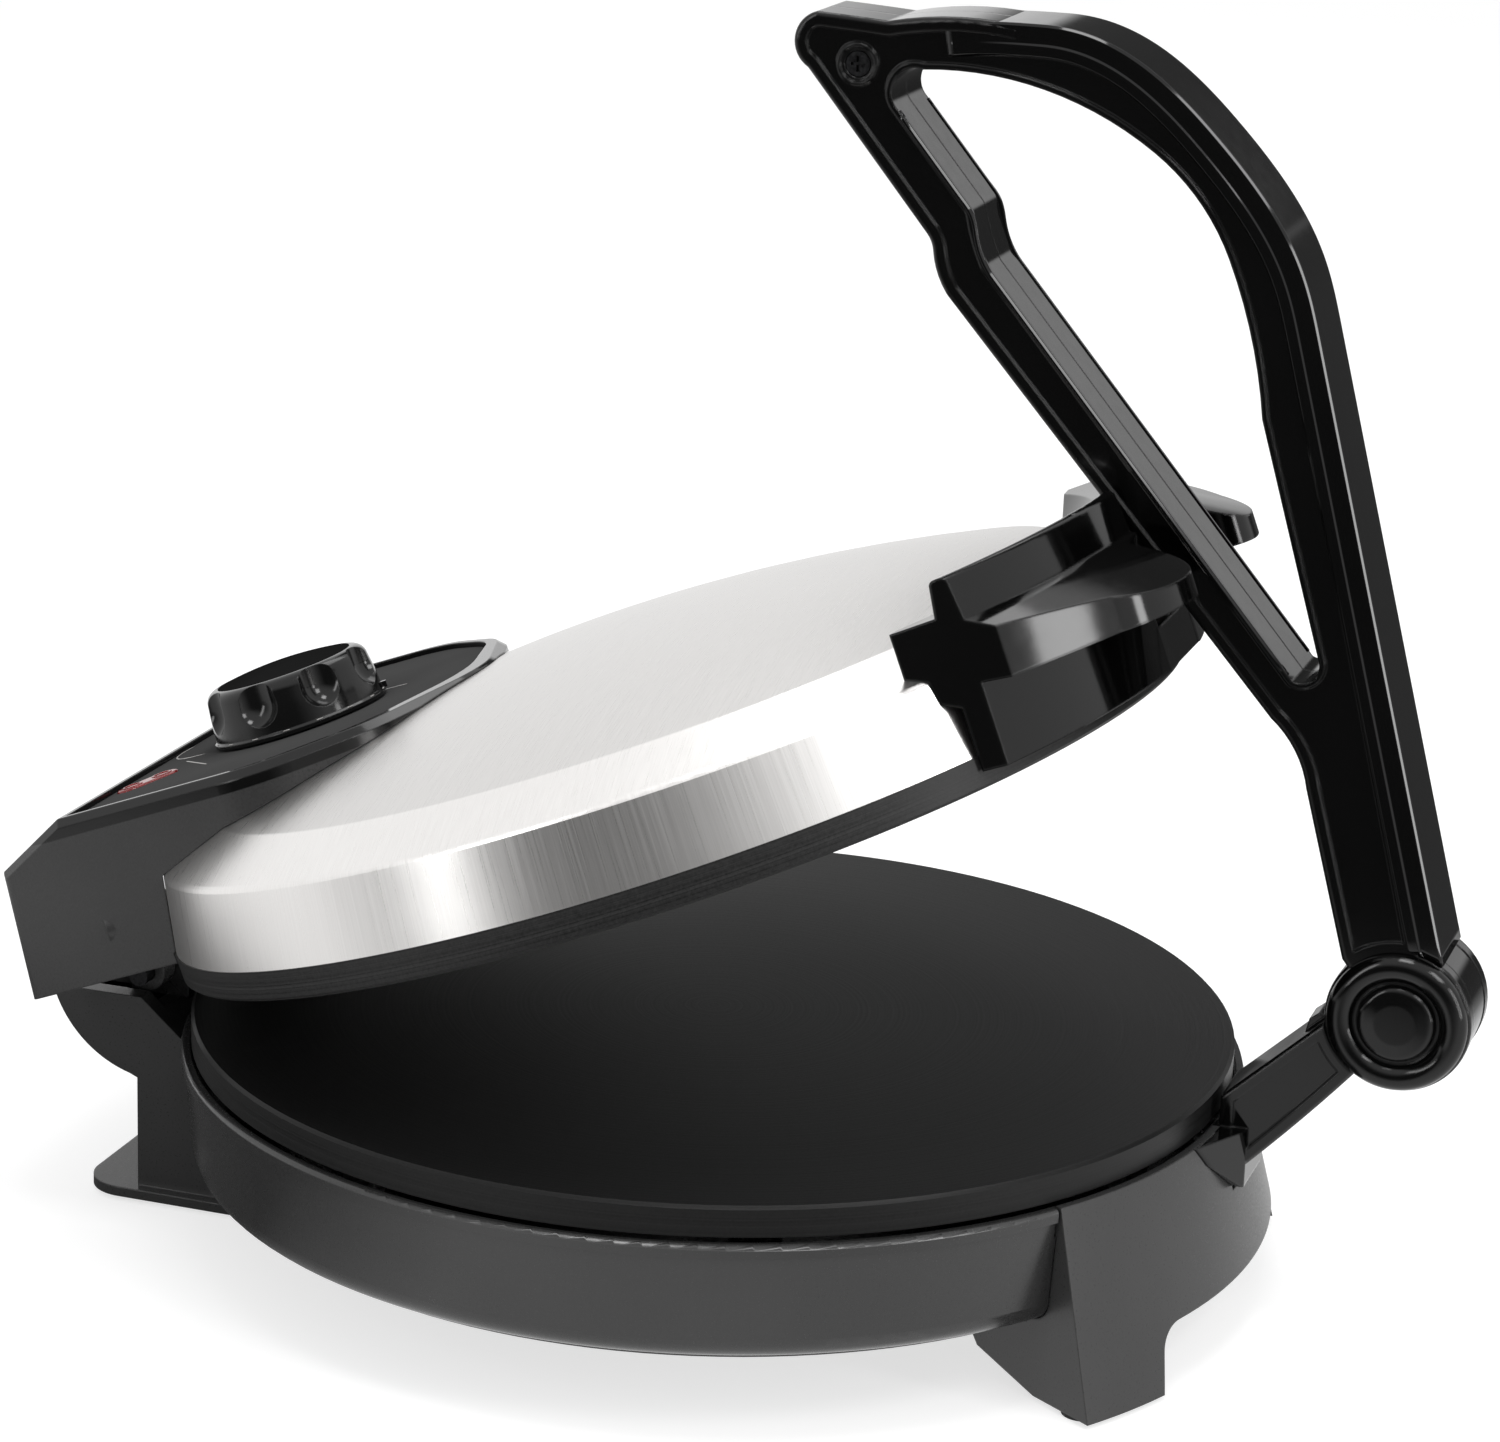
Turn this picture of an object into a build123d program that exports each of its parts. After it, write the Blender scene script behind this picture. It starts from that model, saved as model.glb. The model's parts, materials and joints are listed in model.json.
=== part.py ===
from build123d import *
import os
from math import cos, sin, sqrt, radians

# Countertop flatbread press-cooker.  Millimetres, +Z up.  The origin is the centre of the lower
# plate's cooking face; the press lever stands on the -Y side and the lid hinge on the +Y side.

# ---- driving dimensions ----
plate_r = 130.0  # both cooking plates
plate_rim = 7.4  # height of a plate's edge
plate_skin = 4.5  # plate thickness inside its edge
hinge_y = 139.0  # lid hinge axis, along X
hinge_z = 0.6
lid_open = 21.4  # how far the lid stands open at rest, degrees
plate_gap = 1.0  # between the closed plates
play = 0.1  # between pieces that are fitted together

bead_r = 132.6  # rolled bead at the top of the drum
bead_z = -8.4
drum_low_r = 130.2
drum_low_z = -32.0
drum_floor_z = -38.0
drum_wall = 2.4
cover_r = 122.9  # bottom cover
cover_z = -39.6
post_ring = 108.0  # plate posts and their screws
tray_ring = 60.0  # reflector screws
cover_ring = 116.0  # bottom cover screws
element_ring = 88.0
element_r = 3.4

apron_top_r = 132.55  # flared front stand
apron_top_z = -8.2
apron_flare = 0.267
apron_half = 33.9  # degrees each side of the front
sole_z = -57.3
pad_z = -58.5  # underside of the feet
sheet = 2.4  # moulded wall

stand_half = 44.0  # rear stand
foot_half = 47.0
foot_back = 153.5
barrel_r = 23.0

wall_low_r = 129.6  # steel lid cover
crease_r = 126.2
crease_z = 27.6
top_r = 109.5
top_z = 35.0
dome = 13.5
steel = 0.8

case_half = 64.0  # control housing
case_low = 5.7
case_top = 47.6
case_skin = 2.6
bezel = 3.2
panel_z = 46.2
knob_y = 93.2
hinge_room = 24.6  # radius kept free about the hinge inside the housing

wing_half = 77.0  # saddle on the lid's free edge
notch_half = 22.0
lever_room = 14.0  # half width kept free for the lever in the rim and skirt
saddle_in = 131.0
saddle_out = 136.0

hub_y = -173.2  # lever pivot
hub_z = 25.7
hub_r = 17.4
lever_half = 12.0  # half the lever's thickness
cheek = 7.3  # inner face of the lever's cheeks

os.makedirs("parts", exist_ok=True)
hinge_axis = Axis((0, hinge_y, hinge_z), (1, 0, 0))


def save(piece, name):
    """Writes a piece that stays where it is drawn."""
    piece.part.label = name
    export_step(piece.part, f"parts/{name}.step")


def save_open(piece, name):
    """Writes a piece of the lid, drawn closed and swung up to its rest angle."""
    opened = piece.part.rotate(hinge_axis, -lid_open)
    opened.label = name
    export_step(opened, f"parts/{name}.step")


def apron_r(z):
    """Outer radius of the flared front stand at height z."""
    return apron_top_r + (apron_top_z - z) * apron_flare


def around(radius, degrees):
    """A point on a circle, measured from the front (-Y) towards +X."""
    return (radius * sin(radians(degrees)), -radius * cos(radians(degrees)))


def cap_rise(r, edge_r, rise):
    """Height at radius r above the rim of a spherical cap."""
    ball = (edge_r**2 + rise**2) / (2 * rise)
    return sqrt(ball**2 - r**2) - ball + rise


def turned(*points):
    """A solid of revolution about Z from (radius, height) points."""
    with BuildPart() as piece:
        with BuildSketch(Plane.XZ):
            Polygon(*points, align=None)
        revolve(axis=Axis.Z)
    return piece.part


def sector(half_angle, reach=200.0, low=-70.0, high=60.0):
    """A triangular block over the front sector."""
    with BuildPart() as piece:
        with BuildSketch(Plane.XY.offset(low)):
            Polygon((0, 0), around(reach, -half_angle), around(reach, half_angle), align=None)
        extrude(amount=high - low)
    return piece.part


def side_block(half_width, *points):
    """A block with a side profile of (y, z) points, as wide as given each side of X = 0."""
    with BuildPart() as piece:
        with BuildSketch(Plane.YZ):
            Polygon(*points, align=None)
        extrude(amount=half_width, both=True)
    return piece.part


# ---- envelopes that neighbours are trimmed to ----
lip_r = 130.65  # the drum's wall is set back here to take the front stand's lip
lip_z = -15.5


def drum_block(grow, step_r, step_z):
    """The drum's outside as a solid, grown by a clearance, with radius step_r above step_z."""
    slope = (bead_r - 0.9 - drum_low_r) / (bead_z - 3.2 - drum_floor_z)
    step_wall = drum_low_r + slope * (step_z - drum_floor_z)
    with BuildPart() as block:
        with BuildSketch(Plane.XZ) as half:
            Polygon(
                (0, drum_floor_z - grow),
                (drum_low_r - 0.4 + grow, drum_floor_z - grow),
                (step_wall + grow, step_z),
                (step_r + grow, step_z),
                (step_r + grow, bead_z),
                (0, bead_z),
                align=None,
            )
            fillet(half.vertices().group_by(Axis.Y)[0].sort_by(Axis.X)[-1], radius=6)
        revolve(axis=Axis.Z)
    return block.part


under_cover = turned((0, cover_z - play), (cover_r + play, cover_z - play), (cover_r + play, -36), (0, -36))
above_bead = turned((0, bead_z - 1), (bead_r + play, bead_z - 1), (bead_r + play, 12), (0, 12))
above_lip = turned((0, bead_z - 1), (lip_r + play, bead_z - 1), (lip_r + play, 12), (0, 12))
drum_envelope = drum_block(play, bead_r, bead_z - 3.2 - play) + under_cover + above_bead
front_envelope = drum_block(play, lip_r, lip_z + play) + under_cover + above_lip
with BuildPart() as steel_envelope:
    with BuildSketch(Plane.XZ):
        with BuildLine():
            l1 = Polyline((0, -2), (plate_r + play, -2), (plate_r + play, plate_gap + plate_rim + play))
            l2 = Line(l1 @ 1, (wall_low_r + play, plate_gap + plate_rim + play))
            l3 = Polyline(l2 @ 1, (crease_r + play, crease_z), (top_r, top_z + play))
            l4 = ThreePointArc(l3 @ 1, (top_r / 2, top_z + play + cap_rise(top_r / 2, top_r, dome)), (0, top_z + dome + play))
            Line(l4 @ 1, (0, -2))
        make_face()
    revolve(axis=Axis.Z)

# ---- lower plate, its heater and its supports ----
with BuildPart() as lower_plate:
    with BuildSketch(Plane.XZ):
        with BuildLine():
            Polyline((0, 0), (plate_r - 0.8, 0), (plate_r, -0.8), (plate_r, -plate_rim))
            Polyline((plate_r, -plate_rim), (plate_r - 5, -plate_rim), (plate_r - 6, -plate_skin))
            Polyline((plate_r - 6, -plate_skin), (0, -plate_skin), (0, 0))
        make_face()
    revolve(axis=Axis.Z)
    with BuildSketch(Plane.XY.offset(-plate_skin)):
        with PolarLocations(post_ring, 3, start_angle=30):
            Circle(6)
    extrude(amount=-3.5)
    with BuildSketch(Plane.XY.offset(-plate_skin - 3.5)):
        with PolarLocations(post_ring, 3, start_angle=30):
            Circle(2.05)
    extrude(amount=6, mode=Mode.SUBTRACT)
save(lower_plate, "lower_plate")


def heater(height, drop):
    """A sheathed ring whose two cold ends turn away from the plate."""
    with BuildPart() as ring:
        with BuildSketch(Plane.XZ):
            with Locations((element_ring, height)):
                Circle(element_r)
        revolve(axis=Axis.Z, revolution_arc=336)
        for face in ring.faces().filter_by(GeomType.PLANE):
            with BuildSketch(Plane.XY.offset(height)):
                with Locations((face.center().X, face.center().Y)):
                    Circle(element_r)
            extrude(amount=drop)
    return ring


lower_element = heater(-plate_skin - element_r - play, -16)
save(lower_element, "lower_element")
cold_ends = [(element_ring, 0), (element_ring * cos(radians(24)), -element_ring * sin(radians(24)))]

with BuildPart() as lower_reflector:
    with BuildSketch(Plane.XZ):
        Polygon((14, -16.6), (96, -16.6), (99, -10), (98.2, -10), (95.4, -15.8), (14, -15.8), align=None)
    revolve(axis=Axis.Z)
    with BuildSketch(Plane.XY.offset(-17)):
        with Locations(*cold_ends):
            Circle(5)
        with PolarLocations(tray_ring, 3, start_angle=90):
            Circle(2)
    extrude(amount=8, mode=Mode.SUBTRACT)
save(lower_reflector, "lower_reflector")

with BuildPart() as plate_posts:
    with BuildSketch(Plane.XY.offset(drum_floor_z + drum_wall)):
        with PolarLocations(post_ring, 3, start_angle=30):
            Circle(5)
            Circle(2.4, mode=Mode.SUBTRACT)
    extrude(amount=-plate_skin - 3.5 - drum_floor_z - drum_wall)
save(plate_posts, "plate_posts")

with BuildPart() as plate_screws:
    with BuildSketch(Plane.XY.offset(drum_floor_z + 0.2)):
        with PolarLocations(post_ring, 3, start_angle=30):
            Circle(4)
    extrude(amount=1.4)
    with BuildSketch(Plane.XY.offset(drum_floor_z + 1.6)):
        with PolarLocations(post_ring, 3, start_angle=30):
            Circle(2)
    extrude(amount=-plate_skin - drum_floor_z - 2.6)
save(plate_screws, "plate_screws")

with BuildPart() as reflector_screws:
    with BuildSketch(Plane.XY.offset(-15.8)):
        with PolarLocations(tray_ring, 3, start_angle=90):
            Circle(3.4)
    extrude(amount=1.8)
    with BuildSketch(Plane.XY.offset(-24)):
        with PolarLocations(tray_ring, 3, start_angle=90):
            Circle(1.6)
    extrude(amount=8.2)
save(reflector_screws, "reflector_screws")

# ---- drum and bottom cover ----
front_screw = around(114, 28)
stand_fixings = [front_screw, (-front_screw[0], front_screw[1]), (30, 108), (-30, 108)]

with BuildPart() as base_drum:
    add(drum_block(0, bead_r, bead_z - 3.2))
    fillet(base_drum.edges().group_by(Axis.Z)[-1], radius=1.2)
    with BuildSketch(Plane.XZ):
        Polygon(
            (0, drum_floor_z + drum_wall),
            (123.6, drum_floor_z + drum_wall),
            (127.4, -31.5),
            (128.4, bead_z - 3.8),
            (bead_r - 2.2, bead_z),
            (0, bead_z),
            align=None,
        )
    revolve(axis=Axis.Z, mode=Mode.SUBTRACT)
    with BuildSketch(Plane.XY.offset(drum_floor_z)):
        Circle(52)
    extrude(amount=5, mode=Mode.SUBTRACT)
    add(
        turned((lip_r, lip_z), (140, lip_z), (140, 0), (lip_r, 0)) & sector(apron_half + 0.15),
        mode=Mode.SUBTRACT,
    )
    with BuildSketch(Plane.XY.offset(drum_floor_z + drum_wall)):
        with PolarLocations(post_ring, 3, start_angle=30):
            Circle(7)
            Circle(5.1, mode=Mode.SUBTRACT)
    extrude(amount=5)
    with BuildSketch(Plane.XY.offset(drum_floor_z)):
        with PolarLocations(tray_ring, 3, start_angle=90):
            Circle(6.5)
    extrude(amount=-16.6 - drum_floor_z)
    with BuildSketch(Plane.XY.offset(-25)):
        with PolarLocations(tray_ring, 3, start_angle=90):
            Circle(1.65)
    extrude(amount=9, mode=Mode.SUBTRACT)
    with BuildSketch(Plane.XY.offset(drum_floor_z)):
        with PolarLocations(post_ring, 3, start_angle=30):
            Circle(4.2)
    extrude(amount=1.6, mode=Mode.SUBTRACT)
    with BuildSketch(Plane.XY.offset(drum_floor_z)):
        with PolarLocations(post_ring, 3, start_angle=30):
            Circle(2.2)
        with PolarLocations(cover_ring, 4, start_angle=45):
            Circle(1.55)
        with Locations(*stand_fixings):
            Circle(1.55)
        with Locations((0, 112)):
            Circle(5)
    extrude(amount=4, mode=Mode.SUBTRACT)
    with BuildSketch(Plane.XZ):
        with Locations((-5, -15), (5, -15)):
            Circle(1.6)
    extrude(amount=140, mode=Mode.SUBTRACT)
save(base_drum, "base_drum")

with BuildPart() as bottom_cover:
    with BuildSketch(Plane.XY.offset(cover_z)):
        Circle(cover_r)
        with PolarLocations(34, 12):
            SlotOverall(24, 4.5, mode=Mode.SUBTRACT)
        with PolarLocations(cover_ring, 4, start_angle=45):
            Circle(1.75, mode=Mode.SUBTRACT)
        with Locations(*stand_fixings):
            Circle(1.75, mode=Mode.SUBTRACT)
        with Locations((0, 112)):
            Circle(5, mode=Mode.SUBTRACT)
    extrude(amount=drum_floor_z - cover_z)
save(bottom_cover, "bottom_cover")

with BuildPart() as cover_screws:
    with BuildSketch(Plane.XY.offset(cover_z)):
        with PolarLocations(cover_ring, 4, start_angle=45):
            Circle(3)
    extrude(amount=-1.6)
    with BuildSketch(Plane.XY.offset(cover_z)):
        with PolarLocations(cover_ring, 4, start_angle=45):
            Circle(1.5)
    extrude(amount=3.9)
save(cover_screws, "cover_screws")

# ---- front stand: a flared skin with flat radial sides and two legs ----
arch_low = 59.5
arch_high = 53.0
arch_z = -42.5
tab_z = cover_z - play  # the stand's screw tabs bear on the bottom cover

with BuildPart() as front_apron:
    add(
        turned(
            (104.2, -39),
            (104.2, -50),
            (106, -52.2),
            (126.5, sole_z),
            (apron_r(sole_z), sole_z),
            (apron_r(apron_top_z), apron_top_z),
            (120, apron_top_z),
            (120, -39),
        )
    )
    add(sector(apron_half), mode=Mode.INTERSECT)
    add(
        turned(
            (0, -8),
            (130.2, -8),
            (apron_r(-16) - sheet, -16),
            (apron_r(sole_z + sheet) - sheet, sole_z + sheet),
            (126.9, sole_z + sheet),
            (107, -49.9),
            (0, -49.9),
        )
        & sector(apron_half - 1.15),
        mode=Mode.SUBTRACT,
    )
    with BuildSketch(Plane.XZ) as arch:
        Polygon((-arch_low, -62), (-arch_high, arch_z), (arch_high, arch_z), (arch_low, -62), align=None)
        fillet(arch.vertices().group_by(Axis.Y)[-1], radius=8)
    extrude(amount=170, mode=Mode.SUBTRACT)
    with BuildSketch(Plane.XY.offset(tab_z)):
        for side in (-1, 1):
            with Locations(Location((side * 57.5, -100.5, 0), (0, 0, side * -28))):
                Rectangle(17, 13)
    extrude(amount=-2.4)
    add(sector(apron_half - 0.1), mode=Mode.INTERSECT)
    add(front_envelope, mode=Mode.SUBTRACT)
    with BuildSketch(Plane.XY.offset(tab_z)):
        with Locations(*stand_fixings[:2]):
            Circle(1.75)
    extrude(amount=-4, mode=Mode.SUBTRACT)
    with BuildSketch(Plane.XY.offset(-24)):
        with Locations((0, -135)):
            Rectangle(18.3, 30)
    extrude(amount=20, mode=Mode.SUBTRACT)
save(front_apron, "front_apron")

# ---- rear stand: a column with the hinge barrel on top and a foot flange ----
column_back = 138.2
column_front = 100.0
with BuildPart() as rear_stand:
    with BuildSketch(Plane.YZ):
        with BuildLine():
            l1 = Polyline((column_front, -46), (column_front, sole_z), (column_back, sole_z), (column_back, -25.5))
            l2 = Line(l1 @ 1, (140.3, -24.6))
            l3 = ThreePointArc(l2 @ 1, (155.2, -15.4), (161.6, -3.8))
            l4 = Polyline(l3 @ 1, (137, -3.8), (126, -13.3), (118, -13.3), (118, -46), (column_front, -46))
        make_face()
    extrude(amount=stand_half, both=True)
    fillet(rear_stand.edges().filter_by(Axis.X).group_by(Axis.Y)[-1], radius=1.5)
    with BuildSketch(Plane.XY.offset(sole_z)) as foot:
        with Locations((0, (column_front + foot_back) / 2)):
            Rectangle(2 * foot_half, foot_back - column_front)
        fillet(foot.vertices().group_by(Axis.Y)[-1], radius=11)
    extrude(amount=2.6)
    # hollow, open underneath
    with BuildSketch(Plane.YZ):
        Polygon(
            (column_front + sheet, -70),
            (column_back - sheet, -70),
            (column_back - sheet, -26.5),
            (141, -22.4),
            (151.5, -15.5),
            (157.4, -6.4),
            (138, -6.4),
            (135.6, -8.6),
            (135.6, -48.4),
            (column_front + sheet, -48.4),
            align=None,
        )
    extrude(amount=stand_half - sheet, both=True, mode=Mode.SUBTRACT)
    # ears for the hinge pins
    with BuildSketch(Plane.YZ.offset(21)):
        with Locations((hinge_y, hinge_z)):
            Circle(8)
        with Locations((hinge_y, -4)):
            Rectangle(16, 8)
    extrude(amount=8)
    mirror(about=Plane.YZ)
    # tabs that carry the screws into the drum floor
    with BuildSketch(Plane.XY.offset(tab_z)):
        with Locations((0, 110)):
            Rectangle(2 * stand_half, 20)
    extrude(amount=-2.6)
    add(drum_envelope, mode=Mode.SUBTRACT)
    with BuildSketch(Plane.YZ):
        with Locations((hinge_y, hinge_z)):
            Circle(2.55)
    extrude(amount=60, both=True, mode=Mode.SUBTRACT)
    # room for the lid's lugs to swing
    with BuildSketch(Plane.XZ.offset(-130)):
        with Locations((-34.2, 0), (34.2, 0)):
            Rectangle(9.4, 15)
    extrude(amount=-40, mode=Mode.SUBTRACT)
    with BuildSketch(Plane.XY.offset(tab_z)):
        with Locations(*stand_fixings[2:]):
            Circle(1.75)
        with Locations((0, 112)):
            Circle(5)
    extrude(amount=-4, mode=Mode.SUBTRACT)
    with BuildSketch(Plane.XZ.offset(-column_back - 2)):
        with Locations((0, -44)):
            Circle(6.1)
    extrude(amount=8, mode=Mode.SUBTRACT)
save(rear_stand, "rear_stand")

with BuildPart() as stand_screws:
    with BuildSketch(Plane.XY.offset(tab_z - 2.4 - 0.3)):
        with Locations(*stand_fixings):
            Circle(3)
    extrude(amount=-1.6)
    with BuildSketch(Plane.XY.offset(tab_z - 2.7)):
        with Locations(*stand_fixings):
            Circle(1.5)
    extrude(amount=6.4)
save(stand_screws, "stand_screws")

with BuildPart() as rubber_feet:
    with BuildSketch(Plane.XY.offset(pad_z)):
        with Locations((72, -117.5), (-72, -117.5)):
            Circle(5)
        with Locations((34, 145.5), (-34, 145.5)):
            Circle(6)
    extrude(amount=sole_z - pad_z)
save(rubber_feet, "rubber_feet")

with BuildPart() as cord_gland:
    with BuildSketch(Plane.XZ.offset(-column_back)):
        with Locations((0, -44)):
            Circle(8.5)
    extrude(amount=-2.4)
    with BuildSketch(Plane.XZ.offset(-column_back)):
        with Locations((0, -44)):
            Circle(6)
    extrude(amount=5)
    with BuildSketch(Plane.XZ.offset(-column_back - 2.4)):
        with Locations((0, -44)):
            Circle(5)
    extrude(amount=-14)
    with BuildSketch(Plane.XZ.offset(-column_back - 20)):
        with Locations((0, -44)):
            Circle(3.4)
    extrude(amount=40, mode=Mode.SUBTRACT)
    for ring_y in (5, 8, 11, 14):
        with BuildSketch(Plane.XZ.offset(-column_back - ring_y)):
            with Locations((0, -44)):
                Circle(7)
                Circle(4.3, mode=Mode.SUBTRACT)
        extrude(amount=-1.2, mode=Mode.SUBTRACT)
save(cord_gland, "cord_gland")

with BuildPart() as hinge_pins:
    with BuildSketch(Plane.YZ.offset(17.5)):
        with Locations((hinge_y, hinge_z)):
            Circle(2.5)
    extrude(amount=24)
    with BuildSketch(Plane.YZ.offset(17.5)):
        with Locations((hinge_y, hinge_z)):
            Circle(4)
    extrude(amount=2)
    mirror(about=Plane.YZ)
save(hinge_pins, "hinge_pins")

# ---- wiring in the base ----
terminal_z = drum_floor_z + drum_wall
with BuildPart() as terminal_block:
    with BuildSketch(Plane.XY.offset(terminal_z)):
        with Locations((0, 84)):
            Rectangle(36, 14)
    extrude(amount=9)
    with BuildSketch(Plane.XY.offset(terminal_z + 9)):
        with GridLocations(12, 1, 3, 1):
            with Locations((0, 84)):
                Rectangle(9, 9)
    extrude(amount=4)
    with BuildSketch(Plane.XZ.offset(-95)):
        with Locations((-12, terminal_z + 4.5), (0, terminal_z + 4.5), (12, terminal_z + 4.5)):
            Circle(1.8)
    extrude(amount=30, mode=Mode.SUBTRACT)
save(terminal_block, "terminal_block")

with BuildPart() as thermal_fuse:
    with BuildSketch(Plane.XY.offset(-plate_skin)):
        with Locations((0, -40)):
            Rectangle(12, 30)
    extrude(amount=-1.2)
    with BuildSketch(Plane.XZ.offset(28)):
        with Locations((0, -plate_skin - 1.2 - 3.2)):
            Circle(3.2)
    extrude(amount=22)
save(thermal_fuse, "thermal_fuse")

# ---- lid, drawn closed ----
cover_low = plate_gap + plate_rim
upper_skin = plate_gap + plate_skin
shield_z = 16.6


def shield_plan(half, back, shoulder, cheek_point, tip, tip_radius):
    """Plan of the housing: straight sides and a rounded, pointed front that runs onto the dome."""
    left = [(-half, back), (-half, shoulder), cheek_point, (0, tip)]
    right = [(-x, y) for x, y in reversed(left[:-1])]
    with BuildSketch(Plane.XY) as plan:
        Polygon(*left, *right, align=None)
        fillet(plan.vertices().group_by(Axis.Y)[0], radius=tip_radius)
        fillet(plan.vertices().filter_by_position(Axis.Y, cheek_point[1] - 0.1, cheek_point[1] + 0.1), radius=28)
        fillet(plan.vertices().filter_by_position(Axis.Y, shoulder - 0.1, shoulder + 0.1), radius=28)
    return plan.sketch


case_plan = shield_plan(case_half, 160, 76.5, (-44, 52), 36.5, 40)
panel_plan = shield_plan(case_half - 3.4, 131, 78, (-42.5, 56.5), 44, 50)

with BuildPart() as cover_hole:
    with BuildSketch(Plane.XY.offset(20)):
        add(offset(panel_plan, amount=0.4, mode=Mode.PRIVATE))
        with Locations((0, 150)):
            Rectangle(200, 76, mode=Mode.SUBTRACT)
    extrude(amount=40)

with BuildPart() as lid_cover:
    with BuildSketch(Plane.XZ):
        with BuildLine():
            l1 = Polyline((123.6, cover_low), (wall_low_r, cover_low), (crease_r, crease_z), (top_r, top_z))
            l2 = ThreePointArc(l1 @ 1, (top_r / 2, top_z + cap_rise(top_r / 2, top_r, dome)), (0, top_z + dome))
            l3 = Line(l2 @ 1, (0, top_z + dome - steel))
            l4 = ThreePointArc(
                l3 @ 1,
                (top_r / 2, top_z - steel + cap_rise(top_r / 2, top_r, dome)),
                (top_r, top_z - steel),
            )
            l5 = Polyline(l4 @ 1, (crease_r - 0.9, crease_z - 0.6), (wall_low_r - steel, cover_low + steel))
            Polyline(l5 @ 1, (123.6, cover_low + steel), (123.6, cover_low))
        make_face()
    revolve(axis=Axis.Z)
    rims = lid_cover.edges().filter_by(GeomType.CIRCLE)
    fillet(rims.filter_by(lambda e: abs(e.radius - crease_r) < 0.01), radius=2)
    rims = lid_cover.edges().filter_by(GeomType.CIRCLE)
    fillet(rims.filter_by(lambda e: abs(e.radius - top_r) < 0.01), radius=2.5)
    add(cover_hole.part, mode=Mode.SUBTRACT)
    for side in (-25, 25):
        with BuildSketch(Plane((0, 0, 18), x_dir=(0, 0, 1), z_dir=(sin(radians(side)), cos(radians(side)), 0))):
            Circle(1.8)
        extrude(amount=135, mode=Mode.SUBTRACT)
    for angle in (-20, 20):
        with BuildSketch(Plane((0, 0, 16), x_dir=(0, 0, 1), z_dir=(*around(1, angle), 0))):
            Circle(1.8)
        extrude(amount=135, mode=Mode.SUBTRACT)
save_open(lid_cover, "lid_cover")

with BuildPart() as upper_plate:
    with BuildSketch(Plane.XZ):
        with BuildLine():
            Polyline((0, plate_gap), (plate_r - 0.8, plate_gap), (plate_r, plate_gap + 0.8), (plate_r, cover_low))
            Polyline((plate_r, cover_low), (plate_r - 5, cover_low), (plate_r - 6, upper_skin))
            Polyline((plate_r - 6, upper_skin), (0, upper_skin), (0, plate_gap))
        make_face()
    revolve(axis=Axis.Z)
    with BuildSketch(Plane.XY.offset(upper_skin)):
        with PolarLocations(post_ring, 3, start_angle=30):
            Circle(5)
    extrude(amount=shield_z - upper_skin)
    with BuildSketch(Plane.XY.offset(upper_skin + 1)):
        with PolarLocations(post_ring, 3, start_angle=30):
            Circle(1.65)
    extrude(amount=shield_z, mode=Mode.SUBTRACT)
save_open(upper_plate, "upper_plate")

upper_element = heater(upper_skin + element_r + play, 13)
save_open(upper_element, "upper_element")

with BuildPart() as upper_reflector:
    with BuildSketch(Plane.XZ):
        Polygon(
            (10, shield_z),
            (114, shield_z),
            (120.4, cover_low + steel),
            (127, cover_low + steel),
            (127, cover_low + 2 * steel),
            (120.9, cover_low + 2 * steel),
            (114.4, shield_z + steel),
            (10, shield_z + steel),
            align=None,
        )
    revolve(axis=Axis.Z)
    with BuildSketch(Plane.XY.offset(shield_z - 1)):
        with Locations(*cold_ends):
            Circle(5)
        with PolarLocations(post_ring, 3, start_angle=30):
            Circle(1.8)
    extrude(amount=4, mode=Mode.SUBTRACT)
save_open(upper_reflector, "upper_reflector")

with BuildPart() as upper_plate_screws:
    with BuildSketch(Plane.XY.offset(shield_z + steel)):
        with PolarLocations(post_ring, 3, start_angle=30):
            Circle(3.2)
    extrude(amount=1.8)
    with BuildSketch(Plane.XY.offset(shield_z + steel)):
        with PolarLocations(post_ring, 3, start_angle=30):
            Circle(1.6)
    extrude(amount=-8)
save_open(upper_plate_screws, "upper_plate_screws")

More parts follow.
